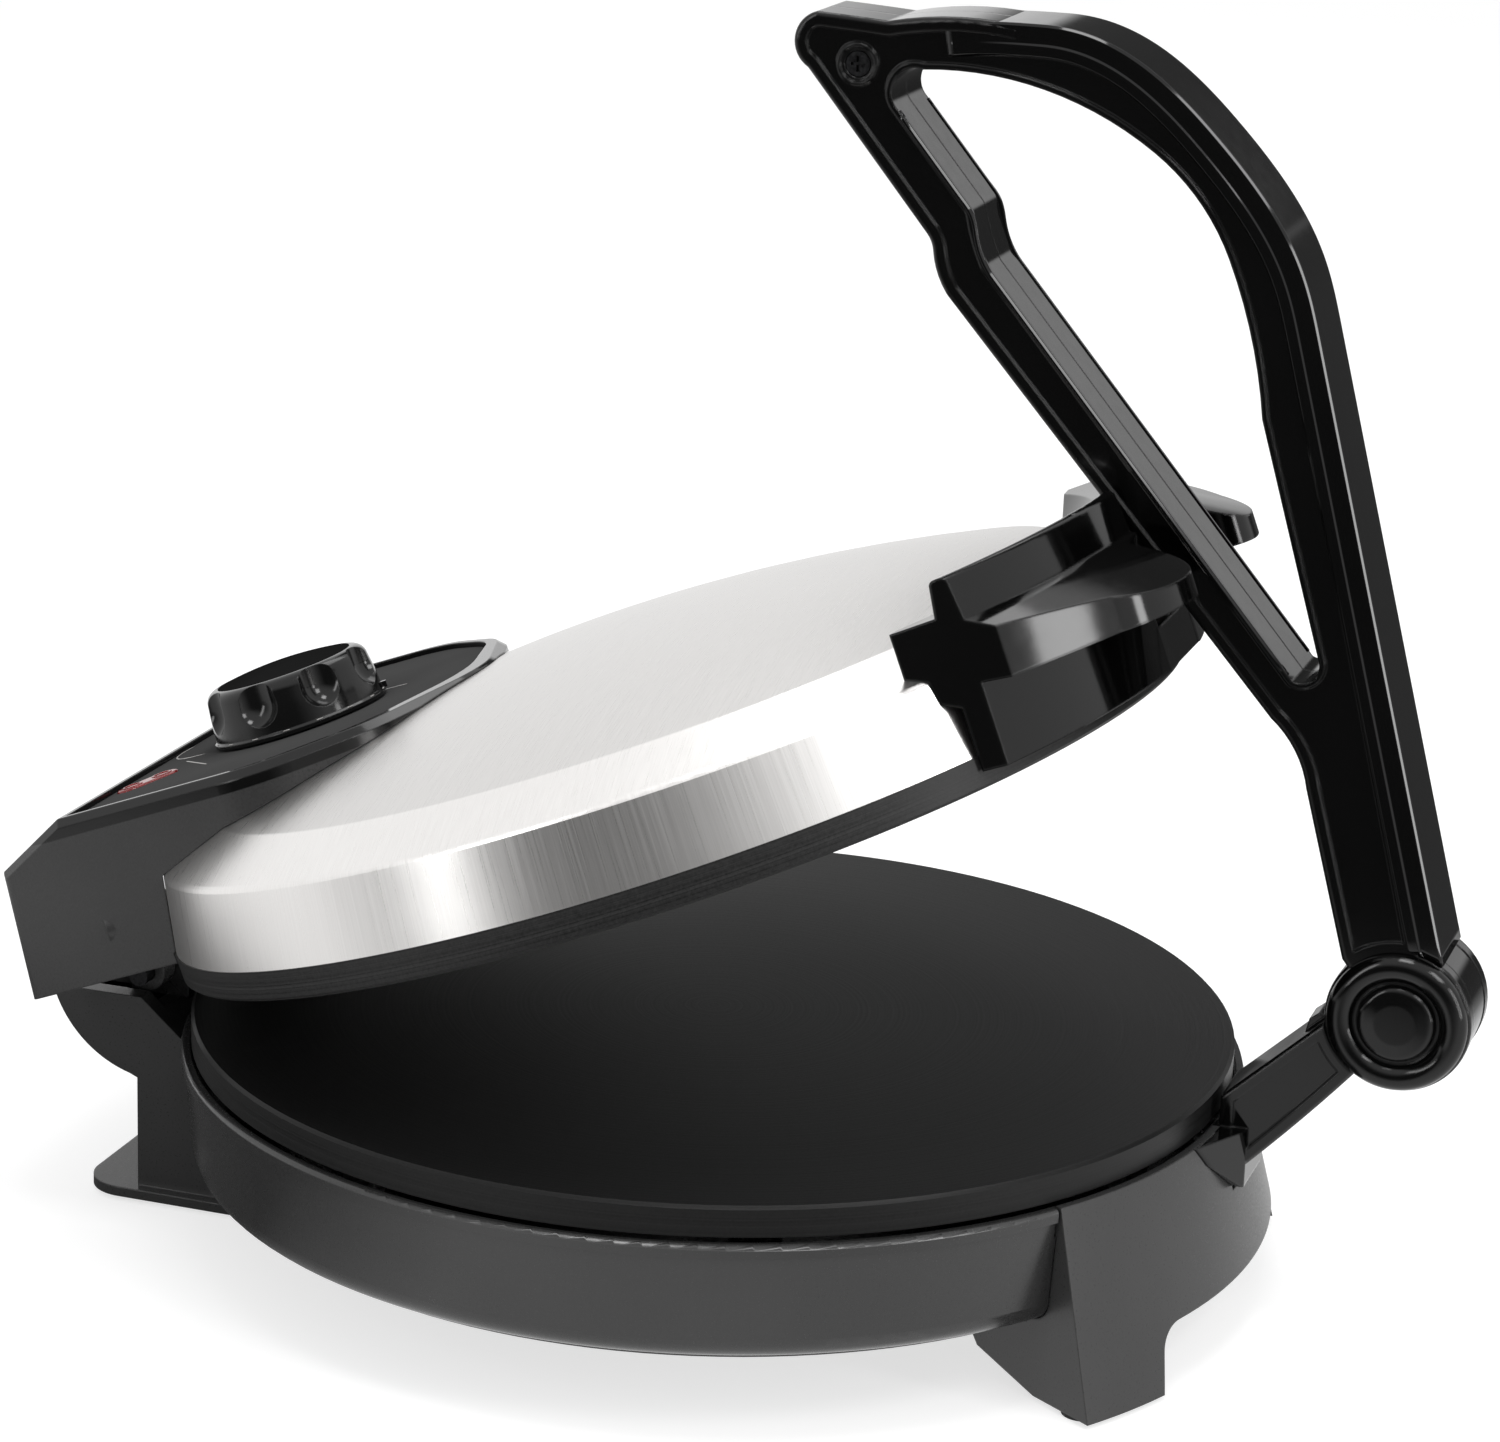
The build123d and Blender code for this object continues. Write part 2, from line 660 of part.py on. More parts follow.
# ---- control housing: a deep moulding over the hinge, open underneath ----
roof = side_block(
    80,
    (20, case_low),
    (156.6, case_low),
    (152.4, 38.4),
    (132.8, case_top),
    (20, case_top),
)
room = side_block(
    80,
    (20, -5),
    (155.5, -5),
    (149.9, 37.2),
    (131.9, 43),
    (20, 43),
)
with BuildPart() as control_housing:
    with BuildSketch(Plane.XY.offset(case_low)):
        add(case_plan)
    extrude(amount=60)
    add(roof, mode=Mode.INTERSECT)
    brink = control_housing.edges().filter_by_position(Axis.Z, 37.9, 50)
    brink = brink.filter_by(lambda e: e.center().Y < 132.7 or abs(e.center().X) > 60)
    chamfer(brink, length=2)
    corners = control_housing.edges().filter_by(lambda e: abs(e.center().X) > 60 and e.center().Y > 151)
    fillet(corners.filter_by(lambda e: e.length > 20), radius=2.5)
    with BuildPart(mode=Mode.PRIVATE) as hollow:
        with BuildSketch(Plane.XY.offset(-5)):
            add(offset(case_plan, amount=-case_skin, mode=Mode.PRIVATE))
        extrude(amount=60)
        add(room, mode=Mode.INTERSECT)
    add(hollow.part, mode=Mode.SUBTRACT)
    with BuildSketch(Plane.XY.offset(panel_z - 1.8)):
        add(panel_plan)
    extrude(amount=8, mode=Mode.SUBTRACT)
    with BuildSketch(Plane.XY.offset(panel_z - 6)):
        add(offset(panel_plan, amount=-2, mode=Mode.PRIVATE))
    extrude(amount=8, mode=Mode.SUBTRACT)
    # screw bosses against the steel wall
    for side in (-25, 25):
        outward = (sin(radians(side)), cos(radians(side)), 0)
        with BuildSketch(Plane((0, 0, 18), x_dir=(0, 0, 1), z_dir=outward).offset(127.5)):
            Circle(4.5)
        extrude(amount=16.5)
        with BuildSketch(Plane((0, 0, 18), x_dir=(0, 0, 1), z_dir=outward).offset(120)):
            Circle(1.65)
        extrude(amount=18, mode=Mode.SUBTRACT)
    add(steel_envelope.part - cover_hole.part, mode=Mode.SUBTRACT)
    with BuildSketch(Plane.YZ):
        with Locations((hinge_y, hinge_z)):
            Circle(hinge_room)
    extrude(amount=46.2, both=True, mode=Mode.SUBTRACT)
    # lugs that hang on the hinge pins
    with BuildSketch(Plane.YZ.offset(31.2)):
        Polygon((hinge_y - 5.2, hinge_z), (132.5, 44.6), (145.5, 38.6), (hinge_y + 5.2, hinge_z), align=None)
        with Locations((hinge_y, hinge_z)):
            Circle(5.2)
            Circle(2.55, mode=Mode.SUBTRACT)
    extrude(amount=6)
    with BuildSketch(Plane.YZ.offset(-31.2)):
        Polygon((hinge_y - 5.2, hinge_z), (132.5, 44.6), (145.5, 38.6), (hinge_y + 5.2, hinge_z), align=None)
        with Locations((hinge_y, hinge_z)):
            Circle(5.2)
            Circle(2.55, mode=Mode.SUBTRACT)
    extrude(amount=-6)
    with BuildSketch(Plane.YZ):
        with Locations((hinge_y, hinge_z)):
            Circle(2.55)
    extrude(amount=60, both=True, mode=Mode.SUBTRACT)
save_open(control_housing, "control_housing")

with BuildPart() as housing_screws:
    for side in (-25, 25):
        outward = (sin(radians(side)), cos(radians(side)), 0)
        with BuildSketch(Plane((0, 0, 18), x_dir=(0, 0, 1), z_dir=outward).offset(126.2)):
            Circle(3.2)
        extrude(amount=-1.8)
        with BuildSketch(Plane((0, 0, 18), x_dir=(0, 0, 1), z_dir=outward).offset(126.2)):
            Circle(1.6)
        extrude(amount=9.5)
save_open(housing_screws, "housing_screws")

lens_place = Location((-31.5, 123.2, 0), (0, 0, -38))
with BuildPart() as control_panel:
    with BuildSketch(Plane.XY.offset(panel_z - 1.7)):
        add(offset(panel_plan, amount=-0.15, mode=Mode.PRIVATE))
        with Locations((0, knob_y)):
            Circle(5, mode=Mode.SUBTRACT)
        with Locations(lens_place):
            SlotOverall(17.2, 7.2, mode=Mode.SUBTRACT)
    extrude(amount=1.7)
save_open(control_panel, "control_panel")

with BuildPart() as indicator_lens:
    with BuildSketch(Plane.XY.offset(panel_z - 1.75)):
        with Locations(lens_place):
            SlotOverall(17, 7)
    extrude(amount=2.25)
    fillet(indicator_lens.edges().group_by(Axis.Z)[-1], radius=0.8)
save_open(indicator_lens, "indicator_lens")

with BuildPart() as pilot_lamps:
    with BuildSketch(Plane.XY.offset(panel_z - 2.25)):
        with Locations(lens_place):
            with Locations((-4.2, 0), (4.2, 0)):
                Circle(2.6)
    extrude(amount=-11)
    fillet(pilot_lamps.edges().group_by(Axis.Z)[0], radius=1)
save_open(pilot_lamps, "pilot_lamps")

with BuildPart() as thermostat:
    with BuildSketch(Plane.XY.offset(27)):
        with Locations((0, knob_y)):
            Rectangle(32, 26)
    extrude(amount=12)
    fillet(thermostat.edges().filter_by(Axis.Z), radius=2)
    with BuildSketch(Plane.XY.offset(39)):
        with Locations((0, knob_y)):
            Circle(7)
    extrude(amount=panel_z - 1.75 - 39)
    with BuildSketch(Plane.XY.offset(31)):
        with Locations((0, knob_y)):
            Circle(3.08)
    extrude(amount=20, mode=Mode.SUBTRACT)
    with BuildSketch(Plane.XY.offset(32)):
        with Locations((-13, knob_y - 15), (13, knob_y - 15), (0, knob_y - 15)):
            Rectangle(6, 5)
    extrude(amount=0.8)
save_open(thermostat, "thermostat")

# ---- knob ----
scoop_r = 6.6
scoop_turn = 2.7
knob_low = panel_z + 0.5
knob_top = panel_z + 14.6
with BuildPart() as knob:
    with BuildSketch(Plane.XZ.offset(-knob_y)):
        with BuildLine():
            l1 = Polyline((4, knob_low), (22.8, knob_low), (22.8, knob_low + 1), (22.2, knob_low + 1.5))
            l2 = Spline(l1 @ 1, (21.9, knob_low + 6), (21.3, knob_top - 3.2), tangents=[(-0.1, 1), (-0.12, 1)])
            l3 = ThreePointArc(l2 @ 1, (20.3, knob_top - 1), (17.9, knob_top))
            l4 = Polyline(l3 @ 1, (17.6, knob_top), (17.6, knob_top - 1.4), (4, knob_top - 1.4), (4, knob_low))
        make_face()
    revolve(axis=Axis((0, knob_y, 0), (0, 0, 1)))
    # finger scoops
    with Locations((0, knob_y, knob_low + 9.4)):
        with PolarLocations(25.2, 8, start_angle=scoop_turn):
            Sphere(scoop_r, mode=Mode.SUBTRACT)
            Cylinder(scoop_r, 12, align=(Align.CENTER, Align.CENTER, Align.MIN), mode=Mode.SUBTRACT)
    # pointer
    with Locations((0, knob_y, knob_low + 1.9)):
        with PolarLocations(22.3, 1, start_angle=293.5):
            Box(2.2, 1.8, 1.6)
    # bore with its flat
    with BuildSketch(Plane.XY.offset(knob_low)):
        with Locations((0, knob_y)):
            Circle(4.05)
            Circle(3.05, mode=Mode.SUBTRACT)
    extrude(amount=10)
    with BuildSketch(Plane.XY.offset(knob_top - 1.4)):
        with Locations((0, knob_y)):
            Circle(17.6)
    extrude(amount=-1.6)
    with BuildSketch(Plane.XY.offset(knob_low - 0.01)):
        with Locations((0, knob_y)):
            Circle(21)
            Circle(6, mode=Mode.SUBTRACT)
    extrude(amount=2, mode=Mode.SUBTRACT)
save_open(knob, "knob")

with BuildPart() as knob_cap:
    with BuildSketch(Plane.XZ.offset(-knob_y)):
        with BuildLine():
            l1 = Polyline((0, knob_top - 1.4), (17.5, knob_top - 1.4), (17.5, knob_top + 0.1))
            l2 = ThreePointArc(l1 @ 1, (9, knob_top + 0.1 + cap_rise(9, 17.5, 1.6)), (0, knob_top + 1.7))
            Line(l2 @ 1, l1 @ 0)
        make_face()
    revolve(axis=Axis((0, knob_y, 0), (0, 0, 1)))
save_open(knob_cap, "knob_cap")

with BuildPart() as thermostat_shaft:
    with BuildSketch(Plane.XY.offset(31.2)):
        with Locations((0, knob_y)):
            Circle(3)
    extrude(amount=knob_low + 9.5 - 31.2)
    with BuildSketch(Plane.XY.offset(knob_low)):
        with Locations((0, knob_y + 3.6)):
            Rectangle(8, 3)
    extrude(amount=12, mode=Mode.SUBTRACT)
save_open(thermostat_shaft, "thermostat_shaft")

# ---- saddle: two wings over the lid's free edge, joined by a skirt ----
skirt_low = 5.0
brim_reach = 160.0
shelf_drop = 0.57  # slope of the brim's top
shelf_z = 39.2
with BuildSketch(Plane.XY) as wing_plan:
    with BuildLine():
        l1 = Polyline((lever_room, -95), (lever_room, -137.2), (notch_half, -137.2), (notch_half, -143))
        l2 = TangentArc(l1 @ 1, (32, -151.6), tangent=(0, -1))
        l3 = ThreePointArc(l2 @ 1, (44, -148), (54, -139.5))
        l4 = ThreePointArc(l3 @ 1, (66, -129.6), (wing_half, -119.5))
        Polyline(l4 @ 1, (wing_half, -95), (lever_room, -95))
    make_face()

with BuildPart() as wing_pocket:
    with BuildSketch(Plane.XZ):
        Polygon((112, 30), (120.6, 37.9), (133.2, 38.8), (133.2, 27.5), (126, 26), align=None)
        Polygon((138.4, 35.4), (156, 35.4 - 17.6 * shelf_drop), (156, 15), (138.4, 15), align=None)
    revolve(axis=Axis.Z)
    with BuildSketch(Plane.XY.offset(10)):
        add(offset(wing_plan.sketch, amount=-2.4, mode=Mode.PRIVATE))
        mirror(about=Plane.YZ)
    extrude(amount=40, mode=Mode.INTERSECT)

with BuildPart() as saddle:
    with BuildSketch(Plane.XZ):
        with BuildLine():
            l1 = Polyline((112, 30), (114.5, 34.2), (119.5, 40), (131.3, 41))
            l2 = Polyline(l1 @ 1, (132.2, 48.3))
            l3 = ThreePointArc(l2 @ 1, (132.7, 49.2), (133.6, 49.5))
            l4 = ThreePointArc(l3 @ 1, (135, 49.5 - 0.15), (135.7, 48.6))
            l5 = Polyline(
                l4 @ 1,
                (136.6, shelf_z),
                (brim_reach, shelf_z - (brim_reach - 136.6) * shelf_drop),
                (brim_reach, 22.8),
                (saddle_out, 24.5),
                (saddle_out, 20),
                (saddle_in, 20),
                (112, 30),
            )
        make_face()
    revolve(axis=Axis.Z)
    with BuildSketch(Plane.XY.offset(10)):
        add(wing_plan.sketch)
        mirror(about=Plane.YZ)
    extrude(amount=50, mode=Mode.INTERSECT)
    add(wing_pocket.part, mode=Mode.SUBTRACT)
    # the skirt joins the wings below the notch
    with BuildPart(mode=Mode.PRIVATE) as skirt:
        with BuildSketch(Plane.XZ):
            Polygon((saddle_in, skirt_low), (saddle_out, skirt_low), (saddle_out, 24.6), (saddle_in, 24.6), align=None)
        revolve(axis=Axis.Z)
        with BuildSketch(Plane.XY):
            with Locations((0, -120)):
                Rectangle(2 * wing_half, 80)
        extrude(amount=60, mode=Mode.INTERSECT)
        with BuildSketch(Plane.XY.offset(15.5)):
            with Locations((0, -130)):
                Rectangle(2 * lever_room, 60)
        extrude(amount=60, mode=Mode.SUBTRACT)
        with BuildSketch(Plane.XY):
            with Locations((0, -135 - 20)):
                Rectangle(2 * lever_room, 40)
        extrude(amount=60, mode=Mode.SUBTRACT)
    add(skirt.part)
    add(steel_envelope.part, mode=Mode.SUBTRACT)
    for angle in (-20, 20):
        outward = (*around(1, angle), 0)
        with BuildSketch(Plane((0, 0, 16), x_dir=(0, 0, 1), z_dir=outward).offset(125)):
            Circle(1.55)
        extrude(amount=9, mode=Mode.SUBTRACT)
save_open(saddle, "saddle")

with BuildPart() as saddle_screws:
    for angle in (-20, 20):
        outward = (*around(1, angle), 0)
        with BuildSketch(Plane((0, 0, 16), x_dir=(0, 0, 1), z_dir=outward).offset(126.3)):
            Circle(3)
        extrude(amount=-1.6)
        with BuildSketch(Plane((0, 0, 16), x_dir=(0, 0, 1), z_dir=outward).offset(126.3)):
            Circle(1.5)
        extrude(amount=6.6)
save_open(saddle_screws, "saddle_screws")

# ---- press lever: two moulded halves on a pivot ----
hub = (hub_y, hub_z)
tip_boss = (-31.5, 239.2)
bosses = [tip_boss, (-100.3, 232.7), (-100.1, 144.6), (-157, 80)]

with BuildSketch(Plane.YZ) as lever_face:
    with BuildLine():
        # the lid's side, from the hub up to the tip
        l1 = Line((-159, 39), (-147.6, 79.4))
        l2 = ThreePointArc(l1 @ 1, (-144.4, 88), (-138.2, 95.2))
        l3 = Line(l2 @ 1, (-55.3, 187.4))
        l4 = ThreePointArc(l3 @ 1, (-52.6, 192.5), (-51.3, 199.5))
        l5 = Line(l4 @ 1, (-19.4, 237.5))
        # round the tip, over the arch and down the back
        l6 = ThreePointArc(l5 @ 1, (-15.9, 244.6), (-21.1, 250.6))
        l7 = ThreePointArc(l6 @ 1, (-29, 250.2), (-38.3, 249.6))
        l8 = ThreePointArc(l7 @ 1, (-68, 251), (-97.7, 241))
        l9 = TangentArc(l8 @ 1, (-128.2, 216.1), tangent=l8 % 1)
        l10 = TangentArc(l9 @ 1, (-143.8, 169.2), tangent=l9 % 1)
        Polyline(l10 @ 1, (-177.4, 41.8), (-175, 34), (-163, 34), l1 @ 0)
    make_face()
    for knee in ((-51.3, 199.5), (-55.3, 187.4)):
        fillet(lever_face.vertices().sort_by_distance(knee)[0], radius=7)
    with Locations(hub):
        Circle(hub_r)

with BuildSketch(Plane.YZ) as lever_window:
    with BuildLine():
        l1 = Line((-142.6, 105), (-64.6, 194.9))
        l2 = ThreePointArc(l1 @ 1, (-62.3, 200.5), (-60.4, 207.6))
        l3 = Line(l2 @ 1, (-41, 230.4))
        l4 = ThreePointArc(l3 @ 1, (-40.6, 236.4), (-47.4, 239.2))
        l5 = ThreePointArc(l4 @ 1, (-75.5, 237), (-102.9, 224.5))
        l6 = TangentArc(l5 @ 1, (-121.5, 202), tangent=l5 % 1)
        l7 = TangentArc(l6 @ 1, (-131.6, 165.8), tangent=l6 % 1)
        l8 = Line(l7 @ 1, (-148.4, 111))
        ThreePointArc(l8 @ 1, (-147.6, 106), (-142.6, 105))
    make_face()
    for knee in ((-60.4, 207.6), (-64.6, 194.9)):
        fillet(lever_window.vertices().sort_by_distance(knee)[0], radius=5)

with BuildSketch(Plane.YZ) as solid_spots:
    with Locations(hub):
        Circle(hub_r + 3.6)
    with Locations(*bosses):
        Circle(3.4)
with BuildSketch(Plane.YZ) as proud_spots:
    with Locations(hub):
        Circle(hub_r + 2)
    with Locations(tip_boss):
        Circle(5)

outline = lever_face.sketch - lever_window.sketch
hollow = offset(lever_face.sketch, amount=-sheet) - offset(lever_window.sketch, amount=sheet)
walls = outline - (hollow - solid_spots.sketch)
sunk = offset(lever_face.sketch, amount=-3.2) - offset(lever_window.sketch, amount=1.4)
border = outline - (sunk - proud_spots.sketch)
lever_skin = 2.2
lever_border = 1.0


def lever_side(side, head_places):
    """One moulded half, drawn on the +X side and mirrored for the other: walls, skin and raised border."""
    skin_x = lever_half - lever_border - lever_skin
    border_x = lever_half - lever_border
    with BuildPart() as half:
        extrude(walls, amount=skin_x)
        extrude(outline.moved(Location((skin_x, 0, 0))), amount=lever_skin)
        extrude(border.moved(Location((border_x, 0, 0))), amount=lever_border)
        outermost = half.faces().group_by(Axis.X)[-1].sort_by(SortBy.AREA)[-1]
        fillet(outermost.outer_wire().edges(), radius=1.1)
        # room between the cheeks for the bracket's eye
        with BuildSketch(Plane.YZ):
            with Locations(hub):
                Circle(hub_r + 0.9)
        extrude(amount=cheek, mode=Mode.SUBTRACT)
        with BuildSketch(Plane.YZ):
            with Locations(hub):
                Circle(4.05)
            with Locations(*head_places):
                Circle(1.45)
        extrude(amount=lever_half, mode=Mode.SUBTRACT)
        with BuildSketch(Plane.YZ):
            with Locations(*bosses):
                Circle(1.45)
        extrude(amount=8, mode=Mode.SUBTRACT)
        with BuildSketch(Plane.YZ.offset(9.6)):
            with Locations(hub):
                Circle(7.5)
            with Locations(*head_places):
                Circle(3.1)
        extrude(amount=4, mode=Mode.SUBTRACT)
        with BuildSketch(Plane.YZ.offset(lever_half - 0.7)):
            with Locations(*head_places):
                Circle(4.1)
        extrude(amount=2, mode=Mode.SUBTRACT)
    return half.part if side > 0 else half.part.mirror(Plane.YZ)


with BuildPart() as lever_left:
    add(lever_side(-1, bosses[:1]))
save(lever_left, "lever_left")

with BuildPart() as lever_right:
    add(lever_side(1, bosses[1:]))
save(lever_right, "lever_right")

with BuildPart() as lever_screws:
    for place, side in zip(bosses, (-1, 1, 1, 1)):
        with BuildSketch(Plane.YZ.offset(side * 9.6)):
            with Locations(place):
                Circle(2.9)
        extrude(amount=side * 1.5)
        with BuildSketch(Plane.YZ.offset(side * 9.6)):
            with Locations(place):
                Circle(1.4)
        extrude(amount=-side * 17)
        with BuildSketch(Plane.YZ.offset(side * 10.4)):
            with Locations(place):
                Rectangle(0.8, 3.6)
                Rectangle(3.6, 0.8)
        extrude(amount=side * 2, mode=Mode.SUBTRACT)
save(lever_screws, "lever_screws")

with BuildPart() as hub_caps:
    with BuildSketch(Plane.XY.offset(hub_z)):
        with BuildLine():
            l1 = Polyline((lever_half, hub_y), (lever_half, hub_y + 16.8))
            l2 = ThreePointArc(l1 @ 1, (lever_half + 3.2, hub_y + 14.7), (lever_half + 2.2, hub_y + 11))
            l3 = Polyline(l2 @ 1, (lever_half + 1, hub_y + 10.2), (lever_half + 1, hub_y + 9.4))
            l4 = ThreePointArc(l3 @ 1, (lever_half + 2.4, hub_y + 8.9), (lever_half + 3, hub_y + 7.6))
            Polyline(l4 @ 1, (lever_half + 3.2, hub_y + 5), (lever_half + 3.2, hub_y), l1 @ 0)
        make_face()
    revolve(axis=Axis((0, hub_y, hub_z), (1, 0, 0)))
    mirror(about=Plane.YZ)
save(hub_caps, "hub_caps")

with BuildPart() as pivot_bolt:
    with BuildSketch(Plane.YZ.offset(-9.6)):
        with Locations(hub):
            Circle(7)
    extrude(amount=-2.1)
    with BuildSketch(Plane.YZ.offset(-9.6)):
        with Locations(hub):
            Circle(4)
    extrude(amount=21.4)
save(pivot_bolt, "pivot_bolt")

with BuildPart() as pivot_nut:
    with BuildSketch(Plane.YZ.offset(9.7)):
        with Locations(hub):
            RegularPolygon(7, 6)
            Circle(4.05, mode=Mode.SUBTRACT)
    extrude(amount=2.1)
save(pivot_nut, "pivot_nut")

# ---- bracket arm from the drum to the lever's pivot ----
arm_half = 9.0
eye_half = 7.0
with BuildPart() as lever_bracket:
    with BuildSketch(Plane.YZ) as arm_face:
        with BuildLine():
            l1 = Polyline((-160, 26.1), (-132, -0.4), (-132, -8), (-128, -8.4), (-128, -22.5), (-133.8, -22.5))
            l2 = ThreePointArc(l1 @ 1, (-142.3, -13.8), (-163.7, 10.2))
            Polyline(l2 @ 1, hub, l1 @ 0)
        make_face()
    extrude(amount=arm_half, both=True)
    sides = lever_bracket.edges().filter_by(lambda e: abs(abs(e.center().X) - arm_half) < 0.01)
    chamfer(sides.filter_by(lambda e: e.length > 25), length=0.8)
    with BuildSketch(Plane.YZ):
        with Locations(hub):
            Circle(hub_r + 1)
    extrude(amount=20, both=True, mode=Mode.SUBTRACT)
    # sunk fields on both sides
    with BuildSketch(Plane.YZ.offset(arm_half - 0.7)):
        add(offset(arm_face.sketch_local, amount=-3, mode=Mode.PRIVATE))
        with Locations(hub):
            Circle(hub_r + 3.5, mode=Mode.SUBTRACT)
    extrude(amount=5, mode=Mode.SUBTRACT)
    with BuildSketch(Plane.YZ.offset(-arm_half + 0.7)):
        add(offset(arm_face.sketch_local, amount=-3, mode=Mode.PRIVATE))
        with Locations(hub):
            Circle(hub_r + 3.5, mode=Mode.SUBTRACT)
    extrude(amount=-5, mode=Mode.SUBTRACT)
    # eye
    with BuildSketch(Plane.YZ):
        add(arm_face.sketch_local)
        with Locations(hub):
            Circle(hub_r - 0.2)
    extrude(amount=eye_half, both=True)
    # stop on the arm's back
    with BuildSketch(Plane.YZ):
        Polygon((-149.8, 15), (-151, 20.4), (-153.2, 22.2), (-155.8, 21.6), (-153.2, 18), align=None)
    extrude(amount=4, both=True)
    # pointed collar against the stand
    with BuildPart(mode=Mode.PRIVATE) as collar:
        with BuildSketch(Plane.XY.offset(-23)):
            Polygon((-29, -128.6), (-9, -139), (9, -139), (29, -128.6), (0, -125), align=None)
        extrude(amount=15)
        with BuildSketch(Plane.XZ):
            Polygon((-29, apron_top_z), (-9.5, -22.8), (9.5, -22.8), (29, apron_top_z), align=None)
        extrude(amount=160, mode=Mode.INTERSECT)
        add(
            turned((0, -8), (apron_r(-8) + play, -8), (apron_r(-30) + play, -30), (0, -30)),
            mode=Mode.SUBTRACT,
        )
    add(collar.part)
    add(front_envelope, mode=Mode.SUBTRACT)
    with BuildSketch(Plane.YZ):
        with Locations(hub):
            Circle(4.08)
    extrude(amount=20, both=True, mode=Mode.SUBTRACT)
    with BuildSketch(Plane.XZ.offset(125)):
        with Locations((-5, -15), (5, -15)):
            Circle(1.55)
    extrude(amount=15, mode=Mode.SUBTRACT)
save(lever_bracket, "lever_bracket")

with BuildPart() as bracket_screws:
    with BuildSketch(Plane.XZ.offset(127.5)):
        with Locations((-5, -15), (5, -15)):
            Circle(2.8)
    extrude(amount=-1.5)
    with BuildSketch(Plane.XZ.offset(127.5)):
        with Locations((-5, -15), (5, -15)):
            Circle(1.5)
    extrude(amount=10)
save(bracket_screws, "bracket_screws")

# ---- wires ----
wire_r = 1.1


def wire(*points):
    """A round wire through the given points."""
    with BuildPart() as lead:
        with BuildLine() as path:
            Spline(*points)
        with BuildSketch(Plane(origin=path.line @ 0, z_dir=path.line % 0)):
            Circle(wire_r)
        sweep()
    return lead.part


with BuildPart() as base_leads:
    for end, terminal_x in zip(cold_ends, (12, 0)):
        low = -plate_skin - element_r - play - 16 - wire_r - 0.1
        add(wire((*end, low), (end[0] - 22, end[1] + 22, low - 4), (terminal_x + 8, 66, -31), (terminal_x, 76.8, -31)))
    add(wire((-12, 76.8, -31), (-10, 34, -26), (-2, 4, -20), (0, -12, -10.5), (0, -27, -8.9)))
save(base_leads, "base_leads")

with BuildPart() as lid_leads:
    for end, blade_x in zip(cold_ends, (13, 0)):
        high = upper_skin + element_r + play + 13 + wire_r + 0.1
        add(wire((*end, high), (end[0] - 25, end[1] + 25, high + 3), (blade_x + 6, 60, 33.5), (blade_x, 75.5, 33.9)))
save_open(lid_leads, "lid_leads")
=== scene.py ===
import bmesh
import bpy
import json
import numpy as np
from math import cos, pi, radians, sin
from mathutils import Matrix, Vector


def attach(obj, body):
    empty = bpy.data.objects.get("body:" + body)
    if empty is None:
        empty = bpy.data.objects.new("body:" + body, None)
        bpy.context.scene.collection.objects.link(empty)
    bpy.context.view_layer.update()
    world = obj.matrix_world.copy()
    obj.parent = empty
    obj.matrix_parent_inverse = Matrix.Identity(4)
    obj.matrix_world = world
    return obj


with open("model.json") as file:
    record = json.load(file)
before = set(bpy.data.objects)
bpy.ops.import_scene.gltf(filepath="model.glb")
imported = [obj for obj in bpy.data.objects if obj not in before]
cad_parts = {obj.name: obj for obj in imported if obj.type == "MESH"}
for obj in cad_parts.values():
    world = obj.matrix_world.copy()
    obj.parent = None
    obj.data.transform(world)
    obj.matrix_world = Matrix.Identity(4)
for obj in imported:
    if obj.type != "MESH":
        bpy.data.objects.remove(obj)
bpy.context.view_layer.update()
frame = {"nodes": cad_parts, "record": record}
nodes = frame["nodes"]

# the lid is drawn closed and stands open at rest; its patterns use the closed lid's coordinates
lid = {"hinge": (0.0, 0.139, 0.0006), "open": 21.4}


def openLid(points):
    # closed lid points turned about the hinge to the rest angle
    turn = radians(-lid["open"])
    moved = np.array(points, dtype=float)
    y = moved[..., 1] - lid["hinge"][1]
    z = moved[..., 2] - lid["hinge"][2]
    moved[..., 1] = lid["hinge"][1] + y * cos(turn) - z * sin(turn)
    moved[..., 2] = lid["hinge"][2] + y * sin(turn) + z * cos(turn)
    return moved


# camera, in metres, degrees and millimetres of lens
camera = {
    "place": (-0.9813, -0.3330, 0.3801),
    "turn": -71.62,
    "rise": 16.44,
    "roll": 1.944,
    "lens": 105.518,
    "sensor": 36,
    "reach": 50,
}
turn, rise, roll = (radians(camera[key]) for key in ("turn", "rise", "roll"))
right = Vector((cos(turn), sin(turn), 0))
ahead = Vector((-sin(turn) * cos(rise), cos(turn) * cos(rise), -sin(rise)))
above = right.cross(ahead)
rightRolled = right * cos(roll) + above * sin(roll)
aboveRolled = above * cos(roll) - right * sin(roll)
cameraData = bpy.data.cameras.new("mainCamera")
cameraData.sensor_fit = "HORIZONTAL"
cameraData.sensor_width = camera["sensor"]
cameraData.lens = camera["lens"]
cameraData.clip_end = camera["reach"]
cameraObject = bpy.data.objects.new("mainCamera", cameraData)
bpy.context.scene.collection.objects.link(cameraObject)
axes = Matrix((rightRolled, aboveRolled, -ahead)).transposed().to_4x4()
cameraObject.matrix_world = Matrix.Translation(camera["place"]) @ axes
bpy.context.scene.camera = cameraObject
bpy.context.scene.view_settings.view_transform = "Standard"
print("camera placed")


# helpers for the materials
def startMaterial(name):
    material = bpy.data.materials.new(name)
    material.use_nodes = True
    return material, material.node_tree, material.node_tree.nodes["Principled BSDF"]


def setShader(shader, **values):
    for key, value in values.items():
        shader.inputs[key.replace("_", " ")].default_value = value


